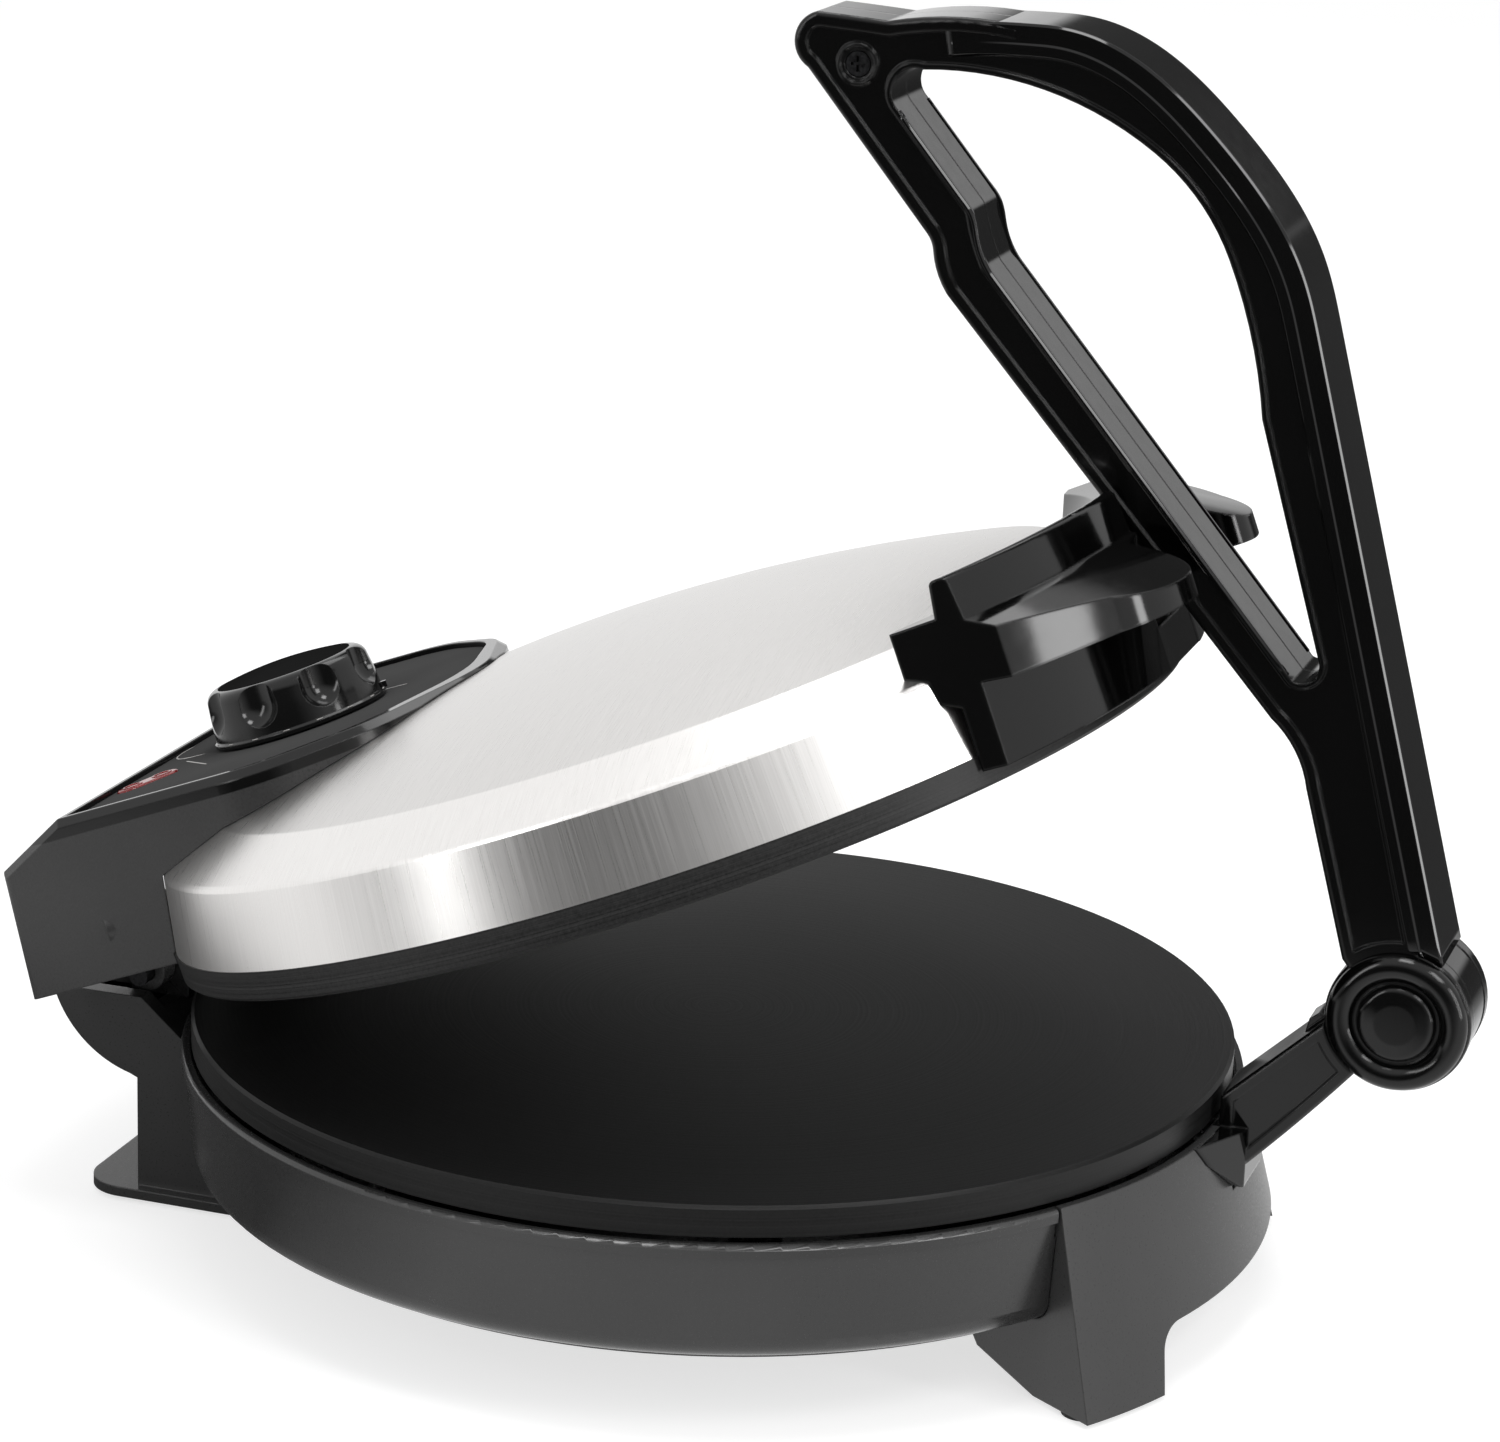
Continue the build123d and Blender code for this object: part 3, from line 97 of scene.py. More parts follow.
def place(tree, onLid=False, scale=(1, 1, 1)):
    # Object coordinates, turned back to the closed lid for its pieces
    vector = tree.nodes.new("ShaderNodeTexCoord").outputs["Object"]
    if onLid:
        back = Matrix.Rotation(radians(lid["open"]), 3, "X")
        hinge = Vector(lid["hinge"])
        mapping = tree.nodes.new("ShaderNodeMapping")
        mapping.inputs["Rotation"].default_value = (radians(lid["open"]), 0, 0)
        mapping.inputs["Location"].default_value = hinge - back @ hinge
        tree.links.new(vector, mapping.inputs["Vector"])
        vector = mapping.outputs["Vector"]
    if scale != (1, 1, 1):
        mapping = tree.nodes.new("ShaderNodeMapping")
        mapping.inputs["Scale"].default_value = scale
        tree.links.new(vector, mapping.inputs["Vector"])
        vector = mapping.outputs["Vector"]
    return vector


def noise(tree, vector, scale, detail=3.0, roughness=0.5):
    node = tree.nodes.new("ShaderNodeTexNoise")
    node.inputs["Scale"].default_value = scale
    node.inputs["Detail"].default_value = detail
    node.inputs["Roughness"].default_value = roughness
    tree.links.new(vector, node.inputs["Vector"])
    return node.outputs["Fac"]


def calc(tree, operation, a, b=None):
    node = tree.nodes.new("ShaderNodeMath")
    node.operation = operation
    for socket, value in zip(node.inputs, (a, b)):
        if value is None:
            continue
        if isinstance(value, (int, float)):
            socket.default_value = value
        else:
            tree.links.new(value, socket)
    return node.outputs["Value"]


def times(tree, a, b):
    return calc(tree, "MULTIPLY", a, b)


def spread(tree, value, low, high, start=0.0, end=1.0):
    # low where the value is at its start, high where it is at its end
    node = tree.nodes.new("ShaderNodeMapRange")
    for socket, number in (("From Min", start), ("From Max", end), ("To Min", low), ("To Max", high)):
        node.inputs[socket].default_value = number
    tree.links.new(value, node.inputs["Value"])
    return node.outputs["Result"]


def roundPlace(tree, vector):
    # x, y, z and the distance from the upright axis
    split = tree.nodes.new("ShaderNodeSeparateXYZ")
    tree.links.new(vector, split.inputs["Vector"])
    x, y, z = split.outputs
    squares = calc(tree, "ADD", times(tree, x, x), times(tree, y, y))
    return x, y, z, calc(tree, "SQRT", squares)


def flatPair(tree, first, second):
    # a vector from two values, for noise that runs along each at its own pace
    node = tree.nodes.new("ShaderNodeCombineXYZ")
    tree.links.new(first, node.inputs["X"])
    tree.links.new(second, node.inputs["Y"])
    return node.outputs["Vector"]


def tint(tree, value, dark, light, start=0.3, end=0.7):
    node = tree.nodes.new("ShaderNodeValToRGB")
    node.color_ramp.elements[0].position = start
    node.color_ramp.elements[0].color = (*dark, 1)
    node.color_ramp.elements[1].position = end
    node.color_ramp.elements[1].color = (*light, 1)
    tree.links.new(value, node.inputs["Fac"])
    return node.outputs["Color"]


def bump(tree, shader, height, strength, distance=0.0002, soften=0.0):
    # soften rounds the look of moulded edges by that radius in metres
    node = tree.nodes.new("ShaderNodeBump")
    if soften:
        bevel = tree.nodes.new("ShaderNodeBevel")
        bevel.samples = 4
        bevel.inputs["Radius"].default_value = soften
        tree.links.new(bevel.outputs["Normal"], node.inputs["Normal"])
    node.inputs["Strength"].default_value = strength
    node.inputs["Distance"].default_value = distance
    tree.links.new(height, node.inputs["Height"])
    tree.links.new(node.outputs["Normal"], shader.inputs["Normal"])


def lidName(name, onLid):
    # a finish that is used on the lid has a second material there
    return name + ("Lid" if onLid else "")


# mouldings: darkest and lightest grey, roughness, gloss, the skin's grain and depth,
# and where it is given the radius of softened edges in metres
plastics = {
    "drum_paint": {"dark": 0.017, "light": 0.023, "rough": 0.24, "gloss": 0.62, "grain": 1600, "depth": 0.04},
    "stand_moulding": {
        "dark": 0.023, "light": 0.031, "rough": 0.30, "gloss": 0.45, "grain": 1500, "depth": 0.08,
        "soften": 0.0006,
    },
    "housing_moulding": {
        "dark": 0.026, "light": 0.035, "rough": 0.28, "gloss": 0.4, "grain": 1300, "depth": 0.03,
        "soften": 0.0006,
        # the band: its lower edge and fade in closed lid height, a colour factor that paints shade, and a
        # roughness factor for a real polish
        "bandFrom": 0.0428, "bandFade": 0.0003, "bandColour": 0.08, "bandRough": 0.35,
    },
    "panel_print": {"dark": 0.052, "light": 0.066, "rough": 0.40, "gloss": 0.0, "grain": 2200, "depth": 0.12},
    "gloss_moulding": {
        "dark": 0.001, "light": 0.002, "rough": 0.08, "gloss": 0.38, "grain": 260, "depth": 0.015,
        "soften": 0.0009,
    },
    "knob_moulding": {
        "dark": 0.002, "light": 0.004, "rough": 0.13, "gloss": 0.4, "grain": 900, "depth": 0.02,
        "soften": 0.0003,
    },
    "cap_finish": {"dark": 0.008, "light": 0.012, "rough": 0.40, "gloss": 0.0, "grain": 2400, "depth": 0.08},
    "rubber": {"dark": 0.014, "light": 0.024, "rough": 0.75, "gloss": 0.3, "grain": 1100, "depth": 0.25},
}


def mouldedPlastic(name, look, onLid=False):
    # two sizes of noise: slow colour drift, and a fine skin in the bump and roughness;
    # above its bandFrom, in closed lid height, a moulding is polished, and its colour is painted
    # darker there, painted shade that stands in for the dark reflection of the rim's bevel
    material, tree, shader = startMaterial(lidName(name, onLid))
    vector = place(tree, onLid)
    drift = noise(tree, vector, scale=18, detail=3)
    skin = noise(tree, vector, look["grain"], detail=4, roughness=0.6)
    colour = spread(tree, drift, look["dark"], look["light"], start=0.3, end=0.7)
    roughness = spread(tree, skin, look["rough"] * 0.85, look["rough"] * 1.2, start=0.3, end=0.7)
    # painted shade: the band's colour is made darker to stand in for the bevel's dark reflection; its lower
    # roughness is a real polish
    if "bandFrom" in look:
        height = roundPlace(tree, vector)[2]
        satinBelowShadeBand = spread(tree, height, 1.0, 0.0, look["bandFrom"], look["bandFrom"] + look["bandFade"])
        colour = times(tree, colour, spread(tree, satinBelowShadeBand, look["bandColour"], 1.0))
        roughness = times(tree, roughness, spread(tree, satinBelowShadeBand, look["bandRough"], 1.0))
    tree.links.new(colour, shader.inputs["Base Color"])
    tree.links.new(roughness, shader.inputs["Roughness"])
    setShader(shader, Specular_IOR_Level=look["gloss"])
    bump(tree, shader, skin, look["depth"], soften=look.get("soften", 0.0))
    return material


# metals: darkest and lightest colour, roughness and grain
metals = {
    "sheath": ((0.16, 0.15, 0.14), (0.32, 0.30, 0.28), 0.48, 500),
    "tray_metal": ((0.58, 0.58, 0.58), (0.74, 0.74, 0.74), 0.30, 300),
    "fuse_case": ((0.48, 0.48, 0.48), (0.62, 0.62, 0.62), 0.35, 900),
    "pin_steel": ((0.30, 0.30, 0.30), (0.42, 0.42, 0.42), 0.30, 900),
    "screw_steel": ((0.26, 0.26, 0.27), (0.40, 0.40, 0.41), 0.36, 1200),
    "dark_steel": ((0.020, 0.020, 0.021), (0.045, 0.045, 0.047), 0.32, 1200),
}


def plainMetal(name, dark, light, rough, grain, onLid):
    material, tree, shader = startMaterial(lidName(name, onLid))
    marks = noise(tree, place(tree, onLid), grain, detail=4, roughness=0.6)
    tree.links.new(tint(tree, marks, dark, light), shader.inputs["Base Color"])
    roughness = spread(tree, marks, rough * 0.8, rough * 1.25, start=0.3, end=0.7)
    tree.links.new(roughness, shader.inputs["Roughness"])
    setShader(shader, Metallic=1.0)
    bump(tree, shader, marks, strength=0.15, distance=0.0001)
    return material


cover = {
    "dark": (0.80, 0.785, 0.77),
    "light": (0.90, 0.885, 0.87),
    "rough": (0.26, 0.34),
    "wallTop": 0.0274,  # closed lid height at which the wall's grain ends
    "wallFade": 0.0008,
    "wallAround": 420.0,  # pace of the wall's noise round the axis, and up it
    "wallUp": 14.0,
    "domeScale": (1, 60, 1),
    "domeGrain": 90,
    # painted shade: inside domeEdge the same brushed steel is made darker, so the dome reads darker than its
    # bevel and wall
    "domeEdge": 0.1095,  # radius inside which the dome is a shade darker than the bevel
    "domeFade": 0.0003,
    "onDome": (0.81, 0.81, 0.81),
}


def brushedCover():
    # the wall is grained upright, as noise that runs fast round the axis and slowly up it;
    # the dome is grained along one direction
    material, tree, shader = startMaterial("brushedCover")
    x, y, z, radius = roundPlace(tree, place(tree, True))
    angle = calc(tree, "ARCTAN2", y, x)
    around = flatPair(tree, times(tree, angle, cover["wallAround"]), times(tree, z, cover["wallUp"]))
    wall = noise(tree, around, scale=1.0, detail=5, roughness=0.65)
    domePlace = place(tree, True, cover["domeScale"])
    dome = noise(tree, domePlace, cover["domeGrain"], detail=4, roughness=0.6)
    onWall = spread(tree, z, 1.0, 0.0, cover["wallTop"], cover["wallTop"] + cover["wallFade"])
    mix = tree.nodes.new("ShaderNodeMix")
    tree.links.new(onWall, mix.inputs["Factor"])
    tree.links.new(dome, mix.inputs["A"])
    tree.links.new(wall, mix.inputs["B"])
    grain = mix.outputs["Result"]
    # painted shade: the dome's colour is multiplied darker inside domeEdge than on the bevel and wall
    domeStart, domeEnd = cover["domeEdge"] - cover["domeFade"], cover["domeEdge"] + cover["domeFade"]
    outsideDomeShade = spread(tree, radius, 0.0, 1.0, domeStart, domeEnd)
    shade = tree.nodes.new("ShaderNodeMix")  # its colour sockets are 6 and 7 in, 2 out
    shade.data_type = "RGBA"
    shade.blend_type = "MULTIPLY"
    shade.inputs[0].default_value = 1.0
    tree.links.new(tint(tree, grain, cover["dark"], cover["light"]), shade.inputs[6])
    tree.links.new(tint(tree, outsideDomeShade, cover["onDome"], (1, 1, 1), start=0.0, end=1.0), shade.inputs[7])
    tree.links.new(shade.outputs[2], shader.inputs["Base Color"])
    tree.links.new(spread(tree, grain, *cover["rough"], start=0.3, end=0.7), shader.inputs["Roughness"])
    setShader(shader, Metallic=1.0)
    bump(tree, shader, grain, strength=0.05, distance=0.0001)
    return material


coating = {
    "Upper": (0.006, 0.034),  # darkest and lightest on each plate
    # painted shade: the same coating is made darker on the lower plate than on the upper one
    "Lower": (0.002, 0.012),
    "rings": 1500.0,  # rings turned into the plate, per metre
    "specks": 1400,
    "ringShare": 0.7,
    "speckShare": 0.3,
    "rough": (0.32, 0.50),
    "gloss": 0.22,
}


def coatedPlate(name, onLid):
    # rings from noise on the radius, with a few pale specks
    material, tree, shader = startMaterial("coatedPlate" + name)
    vector = place(tree, onLid)
    z, radius = roundPlace(tree, vector)[2:]
    rings = flatPair(tree, times(tree, radius, coating["rings"]), times(tree, z, coating["rings"]))
    turned = noise(tree, rings, scale=1.0, detail=3, roughness=0.6)
    specks = noise(tree, vector, coating["specks"], detail=2, roughness=0.7)
    ringPart = times(tree, turned, coating["ringShare"])
    both = calc(tree, "ADD", ringPart, times(tree, specks, coating["speckShare"]))
    tree.links.new(spread(tree, both, *coating[name], start=0.35, end=0.75), shader.inputs["Base Color"])
    tree.links.new(spread(tree, both, *coating["rough"], start=0.3, end=0.7), shader.inputs["Roughness"])
    setShader(shader, Specular_IOR_Level=coating["gloss"])
    bump(tree, shader, both, strength=0.25)
    return material


def clearMoulding(name, grain, dark, light, **values):
    material, tree, shader = startMaterial(name)
    cloud = noise(tree, place(tree, True), grain, detail=2)
    tree.links.new(tint(tree, cloud, dark, light), shader.inputs["Base Color"])
    setShader(shader, **values)
    return material


def redLens():
    glass = {"Roughness": 0.12, "Transmission_Weight": 0.35, "IOR": 1.49}
    return clearMoulding("redLens", 400, (0.20, 0.004, 0.006), (0.36, 0.010, 0.012), **glass)


def lampGlass():
    glass = {"Roughness": 0.08, "Transmission_Weight": 0.7}
    return clearMoulding("lampGlass", 600, (0.75, 0.35, 0.28), (0.90, 0.50, 0.40), **glass)


# pale mouldings: name, darkest and lightest colour, roughness and grain
pales = {
    "insulator": ("insulator", (0.62, 0.59, 0.52), (0.72, 0.69, 0.62), 0.55, 700),
    "lead_sleeve": ("leadSleeve", (0.58, 0.57, 0.53), (0.78, 0.77, 0.73), 0.8, 2600),
}


def paleMoulding(name, dark, light, rough, grain, onLid):
    material, tree, shader = startMaterial(lidName(name, onLid))
    skin = noise(tree, place(tree, onLid), grain, detail=4, roughness=0.6)
    tree.links.new(tint(tree, skin, dark, light), shader.inputs["Base Color"])
    setShader(shader, Roughness=rough)
    bump(tree, shader, skin, strength=0.2)
    return material


def paleInk(name):
    material, tree, shader = startMaterial(name)
    worn = noise(tree, place(tree, True), scale=1800, detail=3)
    tree.links.new(tint(tree, worn, (0.30, 0.29, 0.28), (0.44, 0.43, 0.42)), shader.inputs["Base Color"])
    setShader(shader, Roughness=0.45)
    return material


def finishFor(slotName, onLid):
    if slotName in plastics:
        return mouldedPlastic(slotName, plastics[slotName], onLid)
    if slotName in metals:
        return plainMetal(slotName, *metals[slotName], onLid)
    if slotName in pales:
        return paleMoulding(*pales[slotName], onLid)
    if slotName == "plate_coating":
        # the lower plate's copy of the coating carries painted shade
        return coatedPlate("Upper" if onLid else "Lower", onLid)
    return {"brushed_cover": brushedCover, "red_lens": redLens, "lamp_glass": lampGlass}[slotName]()


slotOf = {entry["node"]: entry["material_slot"] for entry in frame["record"]["subparts"]}
bodies = frame["record"]["behaviour"]["bodies"]
bodyOf = {node: body for body, members in bodies.items() for node in members}
made = {}
for name, item in nodes.items():
    key = (slotOf[name], bodyOf[name] in ("lid", "knob"))
    if key not in made:
        made[key] = finishFor(*key)
    if not item.data.materials:
        item.data.materials.append(made[key])
    for slotEntry in item.material_slots:
        slotEntry.material = made[key]
print("finishes on", len(nodes), "nodes")


# helpers for the pieces drawn here
def newPiece(name, grids, material, body):
    # each grid is rows x columns of points, closed round its columns, and along its rows either
    # pinched to a point at both ends or brought back to where it began
    points = []
    faces = []
    start = 0
    for grid in grids:
        rows, columns = grid.shape[:2]
        row, column = np.meshgrid(np.arange(rows - 1), np.arange(columns), indexing="ij")
        here = row * columns
        beyond = (row + 1) * columns
        after = (column + 1) % columns
        quads = np.stack((here + column, here + after, beyond + after, beyond + column), -1)
        points.append(grid.reshape(-1, 3))
        faces.append(quads.reshape(-1, 4) + start)
        start += rows * columns
    mesh = bpy.data.meshes.new(name)
    mesh.from_pydata(np.concatenate(points).tolist(), [], np.concatenate(faces).tolist())
    mesh.update()
    joined = bmesh.new()
    joined.from_mesh(mesh)
    bmesh.ops.remove_doubles(joined, verts=joined.verts, dist=1e-7)
    bmesh.ops.recalc_face_normals(joined, faces=joined.faces)
    joined.to_mesh(mesh)
    joined.free()
    mesh.shade_smooth()
    mesh.materials.append(material)
    piece = bpy.data.objects.new(name, mesh)
    bpy.context.scene.collection.objects.link(piece)
    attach(piece, body)
    return piece


def ribbon(path, halfWidth, rise, rounds=10):
    # a flattened tube along the path: across it halfWidth * cos(v), up it rise * sin(v),
    # both shrinking to nothing at the ends as the eighth power of the distance from the middle
    path = np.asarray(path, dtype=float)
    forward = np.gradient(path, axis=0)
    forward /= np.linalg.norm(forward, axis=1, keepdims=True)
    up = np.array((0.0, 0.0, 1.0))
    sideways = np.cross(up, forward)
    taper = np.sqrt(1 - np.linspace(-1, 1, len(path)) ** 8)[:, None, None]
    v = np.linspace(0, 2 * pi, rounds, endpoint=False)[None, :, None]
    tube = sideways[:, None, :] * halfWidth * np.cos(v) + up * rise * np.sin(v)
    return path[:, None, :] + taper * tube


def bend(first, middle, last, steps=24):
    # a quadratic curve through the first and last points, pulled towards the middle one
    t = np.linspace(0, 1, steps)[:, None]
    first, middle, last = (np.asarray(p, dtype=float) for p in (first, middle, last))
    return (1 - t) ** 2 * first + 2 * t * (1 - t) * middle + t ** 2 * last


def cubic(points, steps):
    # a cubic curve from the first to the last of four points, steered by the two between
    t = np.linspace(0, 1, steps)[:, None]
    a, b, c, d = (np.asarray(p, dtype=float) for p in points)
    return (1 - t) ** 3 * a + 3 * t * (1 - t) ** 2 * b + 3 * t ** 2 * (1 - t) * c + t ** 3 * d


def endToEnd(runs):
    # one path from several runs, each starting at the point where the last one stops
    return np.concatenate([runs[0]] + [run[1:] for run in runs[1:]])


def chamfered(corners):
    # section points with two more near each end of every span, so that flats stay flat when
    # shaded smooth: 0.15 mm in from each corner, or a fifth of a shorter span
    corners = np.asarray(corners, dtype=float)
    spans = corners[1:] - corners[:-1]
    reach = np.linalg.norm(spans, axis=1, keepdims=True)
    inset = spans / reach * np.minimum(0.15, reach * 0.2)
    rows = np.stack((corners[:-1], corners[:-1] + inset, corners[1:] - inset), 1).reshape(-1, 2)
    return np.concatenate((rows, corners[-1:]))


def carryAlong(path, section, ramp):
    # the section's (x, outward distance), in millimetres, carried along a path of (y, z); near the
    # path's start and end what stands proud of the lever's face sinks back into it
    path = np.asarray(path, dtype=float)
    forward = np.gradient(path, axis=0)
    forward /= np.linalg.norm(forward, axis=1, keepdims=True)
    outward = np.stack((forward[:, 1], -forward[:, 0]), -1) * ramp["side"]
    walked = np.linspace(0, 1, len(path))
    proud = np.clip(walked / ramp["start"], 0, 1) * np.clip((1 - walked) / ramp["end"], 0, 1)
    x = section[None, :, 0]
    face = np.sign(x) * ramp["face"]
    x = np.where(np.abs(x) > ramp["face"], face + (x - face) * proud[:, None], x)
    yz = path[:, None, :] + outward[:, None, :] * section[None, :, 1:]
    grid = np.concatenate((np.broadcast_to(x[..., None], yz.shape[:2] + (1,)), yz), -1)
    caps = [np.broadcast_to(row.mean(axis=0), row.shape) for row in (grid[0], grid[-1])]
    return np.concatenate((caps[0][None], grid, caps[1][None])) / 1000


# printed strokes on the dial, on the closed lid, each pulled towards its middle point
dial = {
    "top": 0.0462,
    "half": 0.00022,
    "rise": 0.00009,
    "strokes": [
        ((0.009, 0.130), (-0.010, 0.133), (-0.010, 0.117)),
        ((-0.014, 0.121), (-0.0215, 0.114), (-0.029, 0.107)),
        ((0.016, 0.077), (0.0155, 0.073), (0.015, 0.069)),
    ],
}
strokes = [bend(*((x, y, dial["top"]) for x, y in stroke)) for stroke in dial["strokes"]]
dialGrids = [openLid(ribbon(stroke, dial["half"], dial["rise"])) for stroke in strokes]
ink = paleInk("paleInk")
newPiece("dialMarks", dialGrids, ink, "lid")

# ticks round the knob's skirt, on its sloping ledge, reaching some degrees to each side
ticks = {
    "count": 16,
    "first": 16.9,
    "reach": 2.4,
    "centre": (0.0, 0.0932),
    "radius": 0.0225,
    "top": 0.04797,
    "half": 0.00024,
    "rise": 0.00016,
    "steps": 9,
}
swing = np.radians(np.linspace(-ticks["reach"], ticks["reach"], ticks["steps"]))
tickGrids = []
for angle in np.linspace(0, 2 * pi, ticks["count"], endpoint=False):
    bearing = angle + radians(ticks["first"]) + swing
    tickX = ticks["centre"][0] + ticks["radius"] * np.cos(bearing)
    tickY = ticks["centre"][1] + ticks["radius"] * np.sin(bearing)
    arc = np.stack((tickX, tickY, np.full(ticks["steps"], ticks["top"])), -1)
    tickGrids.append(openLid(ribbon(arc, ticks["half"], ticks["rise"])))
newPiece("knobTicks", tickGrids, ink, "knob")

# moulded rings in the lens over its two lamps: a ring radius out from the centre,
# and round that a flattened circle
lensRings = {
    "centre": (-0.0315, 0.1232, 0.0467),
    "turn": -38.0,
    "apart": 0.0042,
    "radius": 0.0023,
    "half": 0.0004,
    "rise": 0.00022,
    "steps": (49, 10),
}
u = np.linspace(0, 2 * pi, lensRings["steps"][0])[:, None]
v = np.linspace(0, 2 * pi, lensRings["steps"][1], endpoint=False)[None, :]
ringOut = lensRings["radius"] + lensRings["half"] * np.cos(v)
ring = np.stack((ringOut * np.cos(u), ringOut * np.sin(u), lensRings["rise"] * np.sin(v) + 0 * u), -1)
facing = radians(lensRings["turn"])
ringGrids = []
for side in (-1, 1):
    away = side * lensRings["apart"]
    shift = np.array((away * cos(facing), away * sin(facing), 0))
    ringGrids.append(openLid(ring + shift + np.array(lensRings["centre"])))
newPiece("lensRings", ringGrids, made[("red_lens", True)], "lid")
print("dial marks, knob ticks and lens rings")

# lever rim, in millimetres: a smooth cap over the arch and down the arm, with a low ledge along
# each face; near the hub it keeps off the hub's axis
rim = {
    "lead": ((-52, 250.2), (-60, 251.5), (-68, 251.5), (-75.2, 251.5)),
    "over": ((-75.2, 251.5), (-91.4, 251.5), (-103.9, 242.4), (-115.9, 230.5)),
    "down": ((-115.9, 230.5), (-137.6, 209.1), (-140.1, 198.4), (-144.0, 184.2)),
    "foot": (-182.95, 40.7),
    "steps": {"lead": 16, "over": 50, "down": 50, "arm": 60},
    "hub": (-173.2, 25.7),
    "keepOff": 17.5,
    "ramp": {"side": 1, "face": 11.9, "start": 0.10, "end": 0.01},
    "nearSide": [
        (-10.6, -8.2),
        (-12.45, -7.2),
        (-12.45, -4.95),
        (-12.06, -4.45),
        (-12.06, -0.6),
        (-11.46, 0.0),
        (0.0, 0.0),
    ],
}
rimRuns = [cubic(rim[run], rim["steps"][run]) for run in ("lead", "over", "down")]
rimRuns.append(np.linspace(rim["down"][-1], rim["foot"], rim["steps"]["arm"]))
nearSide = chamfered(rim["nearSide"])
rimSection = np.concatenate((nearSide, (nearSide[:-1] * (-1, 1))[::-1]))
rimGrid = carryAlong(endToEnd(rimRuns), rimSection, rim["ramp"])
hub = np.array(rim["hub"]) / 1000
fromHub = rimGrid[..., 1:] - hub
distance = np.linalg.norm(fromHub, axis=-1, keepdims=True)
rimGrid[..., 1:] = hub + fromHub * np.maximum(1, rim["keepOff"] / 1000 / distance)
rimMoulding = mouldedPlastic("rimMoulding", dict(plastics["gloss_moulding"], soften=0.0))
newPiece("leverRim", [rimGrid], rimMoulding, "lever")

# window edge, in millimetres: a small chamfered bead along the lid's side of the lever's window
windowBead = {
    "limb": ((-141.6, 106.2), (-66.2, 193.1)),
    "knee": ((-66.2, 193.1), (-63.4, 196.8), (-62.5, 200.0), (-61.9, 203.4)),
    "ankle": ((-61.9, 203.4), (-61.0, 207.4), (-60.0, 208.2), (-57.6, 210.9)),
    "top": (-42.0, 229.2),
    "steps": {"limb": 40, "knee": 14, "ankle": 14, "top": 12},
    "ramp": {"side": -1, "face": 11.9, "start": 0.03, "end": 0.03},
    "section": [
        (11.2, -1.6),
        (12.3, -0.7),
        (12.3, -0.3),
        (11.72, 0.28),
        (10.9, 0.28),
        (10.5, -0.8),
        (11.2, -1.6),
    ],
}
beadSteps = windowBead["steps"]
beadPath = endToEnd([
    np.linspace(*windowBead["limb"], beadSteps["limb"]),
    cubic(windowBead["knee"], beadSteps["knee"]),
    cubic(windowBead["ankle"], beadSteps["ankle"]),
    np.linspace(windowBead["ankle"][-1], windowBead["top"], beadSteps["top"]),
])
bead = chamfered(windowBead["section"])[:-1]
beadGrids = [carryAlong(beadPath, bead * (side, 1), windowBead["ramp"]) for side in (-1, 1)]
newPiece("windowEdge", beadGrids, rimMoulding, "lever")
print("lever rim and window edge")

# floor, backdrop and lights
studio = {
    "floorZ": -0.0585,
    "floorHalf": 6.0,
    "floorGlow": 1.35,
    "glowShare": 0.5,  # how much of the floor that the camera sees is glow, not shaded paint
    "sky": 0.62,  # strength of the light from all round
    "lamps": [
        # place, aim, width, height, watts
        ((-0.6, -1.3, 1.5), (0.0, 0.0, 0.05), 0.6, 0.6, 9.0),
        ((-1.4, 0.9, 0.6), (0.0, 0.0, 0.05), 0.25, 1.3, 6.0),
        ((0.8, 0.2, 1.6), (0.0, 0.0, 0.05), 0.9, 0.9, 6.0),
        ((-0.34, -1.57, 0.3), (0.0, -0.15, 0.15), 0.2, 1.2, 8.0),
        ((-0.3, -0.12, 1.7), (0.0, -0.08, 0.25), 0.45, 0.45, 6.0),
    ],
}

# dark cards that shiny surfaces see in the white room; a pair of numbers is where the edge of a
# card begins and ends, along a direction or, for the floor's "out", in metres from the middle
cards = {
    "shade": 0.92,  # how much of the white they take away
    "lever": {"x": 0.95, "y": 0.31, "edge": (0.84, 0.96)},  # direction of the lever's side
    "floorFront": {"x": (-0.95, -0.45), "lean": 0.5, "out": (0.29, 0.38)},
    "floorRear": {"y": (0.3, 0.8), "out": (0.30, 0.37)},
    "floorLever": {"out": (0.25, 0.40), "full": 1.05},
    "skyFront": {"x": (-0.9, -0.45), "z": (0.3, 0.7)},
    "skyLever": {"z": (0.09, 0.15)},
    "skyArch": {"x": 0.90, "z": 0.43, "y": 0.05, "edge": (0.90, 0.93), "slope": 1.19, "low": (0.43, 0.47)},
}


def fadeIn(tree, value, edge, full=1.0):
    return spread(tree, value, 0.0, full, *edge)


def fadeOut(tree, value, edge):
    return spread(tree, value, 1.0, 0.0, *edge)


def anyOf(tree, first, *others):
    for other in others:
        first = calc(tree, "MAXIMUM", first, other)
    return first


def leverBearing(tree, x, y):
    # how far a direction points to the lever's side
    look = cards["lever"]
    return calc(tree, "SUBTRACT", times(tree, x, look["x"]), times(tree, y, look["y"]))


def cameraSees(tree, rays):
    return anyOf(tree, rays.outputs["Is Camera Ray"], rays.outputs["Is Transmission Ray"])


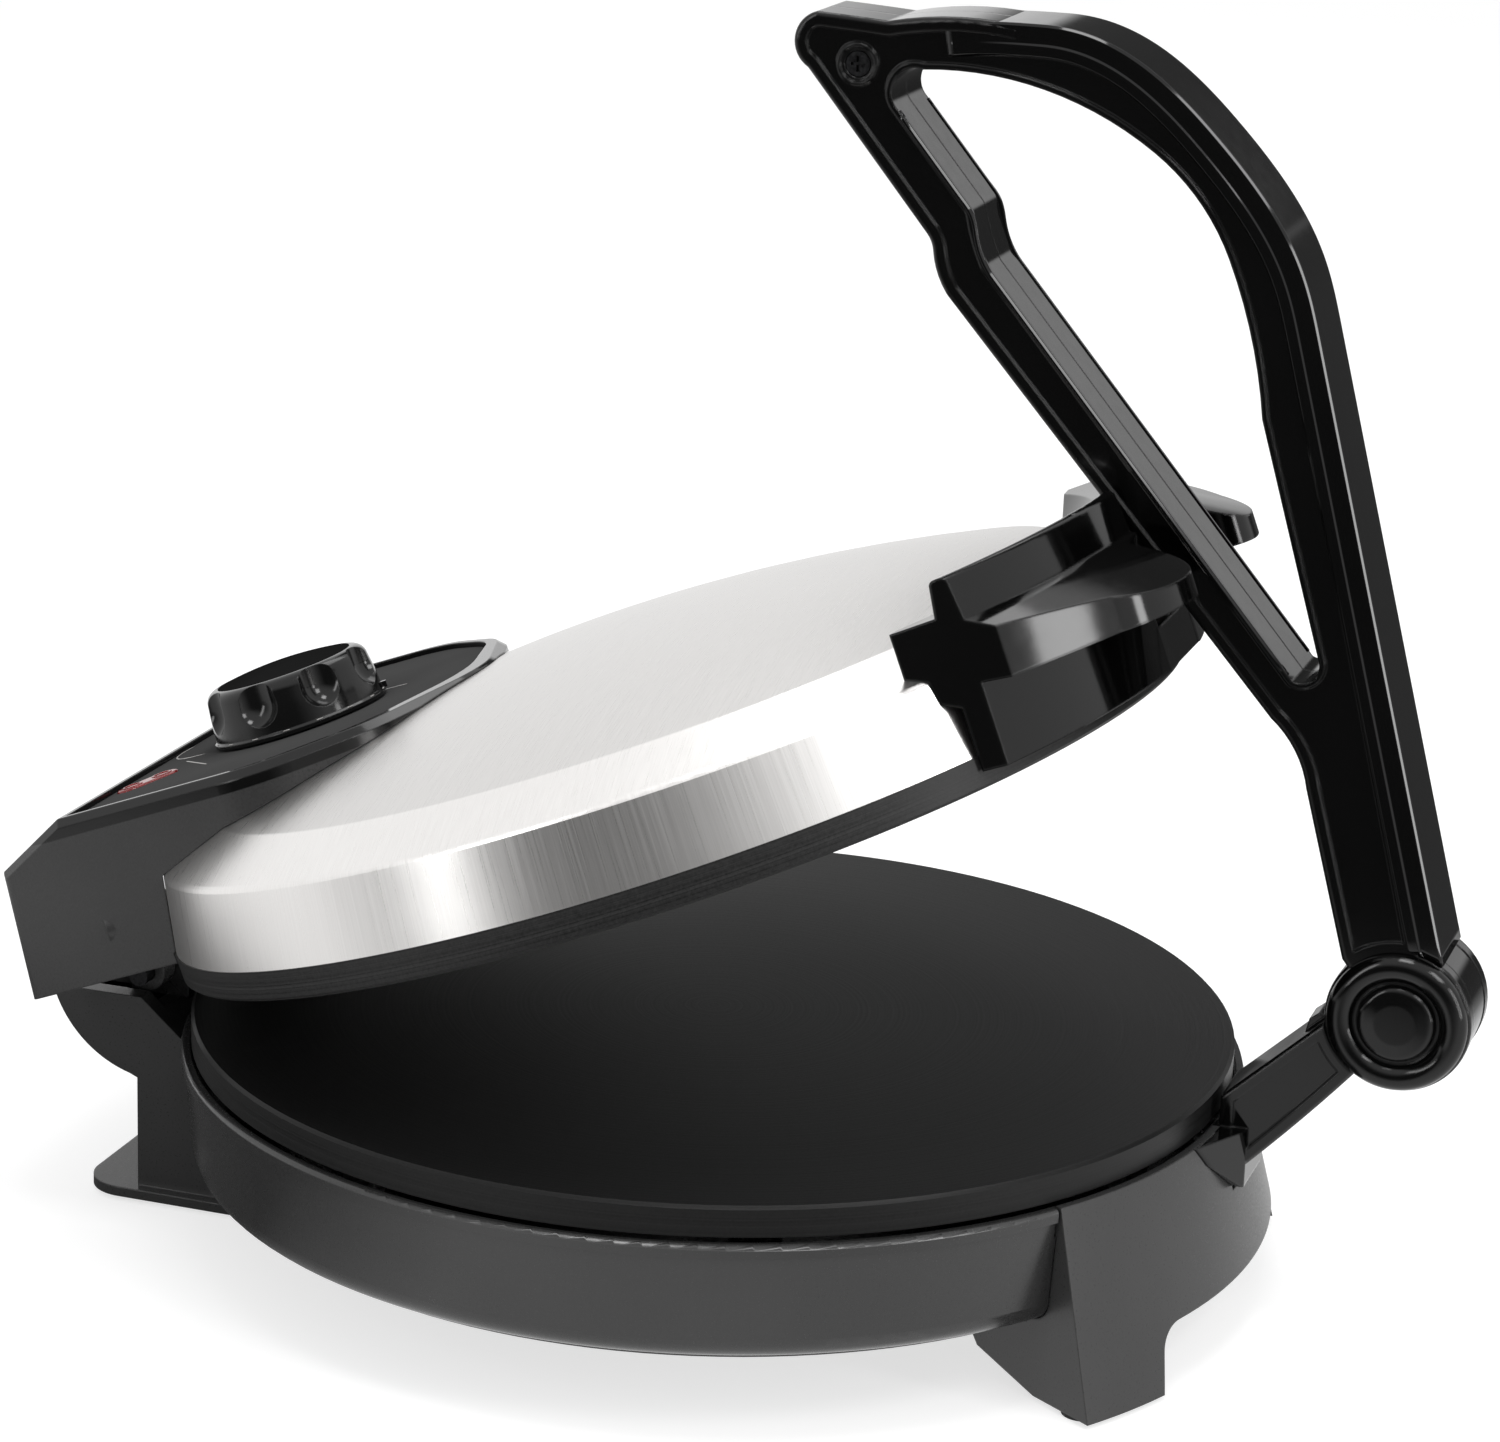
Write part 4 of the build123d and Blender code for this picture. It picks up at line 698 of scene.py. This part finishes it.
def floorCards(tree):
    # three: far out on -X, close in on +Y, and far out behind the lever
    x, y, _, radius = roundPlace(tree, place(tree))
    bearingX = calc(tree, "DIVIDE", x, radius)
    bearingY = calc(tree, "DIVIDE", y, radius)
    look = cards["floorFront"]
    leaned = calc(tree, "SUBTRACT", radius, times(tree, y, look["lean"]))
    front = times(tree, fadeOut(tree, bearingX, look["x"]), fadeIn(tree, leaned, look["out"]))
    look = cards["floorRear"]
    rear = times(tree, fadeIn(tree, bearingY, look["y"]), fadeOut(tree, radius, look["out"]))
    look = cards["floorLever"]
    lever = fadeIn(tree, leverBearing(tree, bearingX, bearingY), cards["lever"]["edge"], look["full"])
    lever = times(tree, lever, fadeIn(tree, radius, look["out"]))
    return anyOf(tree, front, rear, lever)


def skyCards(tree):
    # three: low on the -X side, low on the lever's side, and behind the lever's arch
    x, y, z = roundPlace(tree, tree.nodes.new("ShaderNodeTexCoord").outputs["Generated"])[:3]
    look = cards["skyFront"]
    front = times(tree, fadeOut(tree, x, look["x"]), fadeOut(tree, z, look["z"]))
    lever = fadeIn(tree, leverBearing(tree, x, y), cards["lever"]["edge"])
    lever = times(tree, lever, fadeOut(tree, z, cards["skyLever"]["z"]))
    look = cards["skyArch"]
    bearing = calc(tree, "ADD", times(tree, x, look["x"]), times(tree, z, look["z"]))
    bearing = calc(tree, "SUBTRACT", bearing, times(tree, y, look["y"]))
    height = calc(tree, "SUBTRACT", z, times(tree, y, look["slope"]))
    arch = times(tree, fadeIn(tree, bearing, look["edge"]), fadeOut(tree, height, look["low"]))
    return anyOf(tree, front, lever, arch)


half = studio["floorHalf"]
corners = [(x * half, y * half, studio["floorZ"]) for x, y in ((-1, -1), (1, -1), (1, 1), (-1, 1))]
floorMesh = bpy.data.meshes.new("floor")
floorMesh.from_pydata(corners, [], [(0, 1, 2, 3)])
floorObject = bpy.data.objects.new("floor", floorMesh)
bpy.context.scene.collection.objects.link(floorObject)
floorMaterial, tree, shader = startMaterial("paleFloor")
cloud = noise(tree, place(tree), scale=3, detail=2)
tree.links.new(tint(tree, cloud, (0.93, 0.93, 0.93), (0.95, 0.95, 0.95)), shader.inputs["Base Color"])
setShader(shader, Roughness=0.9, Specular_IOR_Level=0.1)
rays = tree.nodes.new("ShaderNodeLightPath")
glow = tree.nodes.new("ShaderNodeEmission")
glow.inputs["Strength"].default_value = studio["floorGlow"]
seen = tree.nodes.new("ShaderNodeMixShader")
tree.links.new(times(tree, cameraSees(tree, rays), studio["glowShare"]), seen.inputs["Fac"])
tree.links.new(shader.outputs["BSDF"], seen.inputs[1])
tree.links.new(glow.outputs["Emission"], seen.inputs[2])
mirrored = tree.nodes.new("ShaderNodeEmission")
tree.links.new(spread(tree, floorCards(tree), 1.0, 1.0 - cards["shade"]), mirrored.inputs["Strength"])
surface = tree.nodes.new("ShaderNodeMixShader")
tree.links.new(rays.outputs["Is Glossy Ray"], surface.inputs["Fac"])
tree.links.new(seen.outputs["Shader"], surface.inputs[1])
tree.links.new(mirrored.outputs["Emission"], surface.inputs[2])
tree.links.new(surface.outputs["Shader"], tree.nodes["Material Output"].inputs["Surface"])
floorMesh.materials.append(floorMaterial)

world = bpy.data.worlds.new("studio")
world.use_nodes = True
bpy.context.scene.world = world
tree = world.node_tree
backdrop = tree.nodes["Background"]
backdrop.inputs["Color"].default_value = (1, 1, 1, 1)
rays = tree.nodes.new("ShaderNodeLightPath")
sky = tree.nodes.new("ShaderNodeMix")
tree.links.new(rays.outputs["Is Glossy Ray"], sky.inputs["Factor"])
tree.links.new(spread(tree, cameraSees(tree, rays), studio["sky"], 1.0), sky.inputs["A"])
tree.links.new(spread(tree, skyCards(tree), 1.0, 1.0 - cards["shade"]), sky.inputs["B"])
tree.links.new(sky.outputs["Result"], backdrop.inputs["Strength"])

for number, (spot, aim, width, height, watts) in enumerate(studio["lamps"]):
    lamp = bpy.data.lights.new("softLamp%d" % number, "AREA")
    lamp.shape = "RECTANGLE"
    lamp.size = width
    lamp.size_y = height
    lamp.energy = watts
    lampObject = bpy.data.objects.new(lamp.name, lamp)
    lampObject.location = spot
    lampObject.rotation_euler = (Vector(aim) - Vector(spot)).to_track_quat("-Z", "Y").to_euler()
    bpy.context.scene.collection.objects.link(lampObject)
print("studio lit")
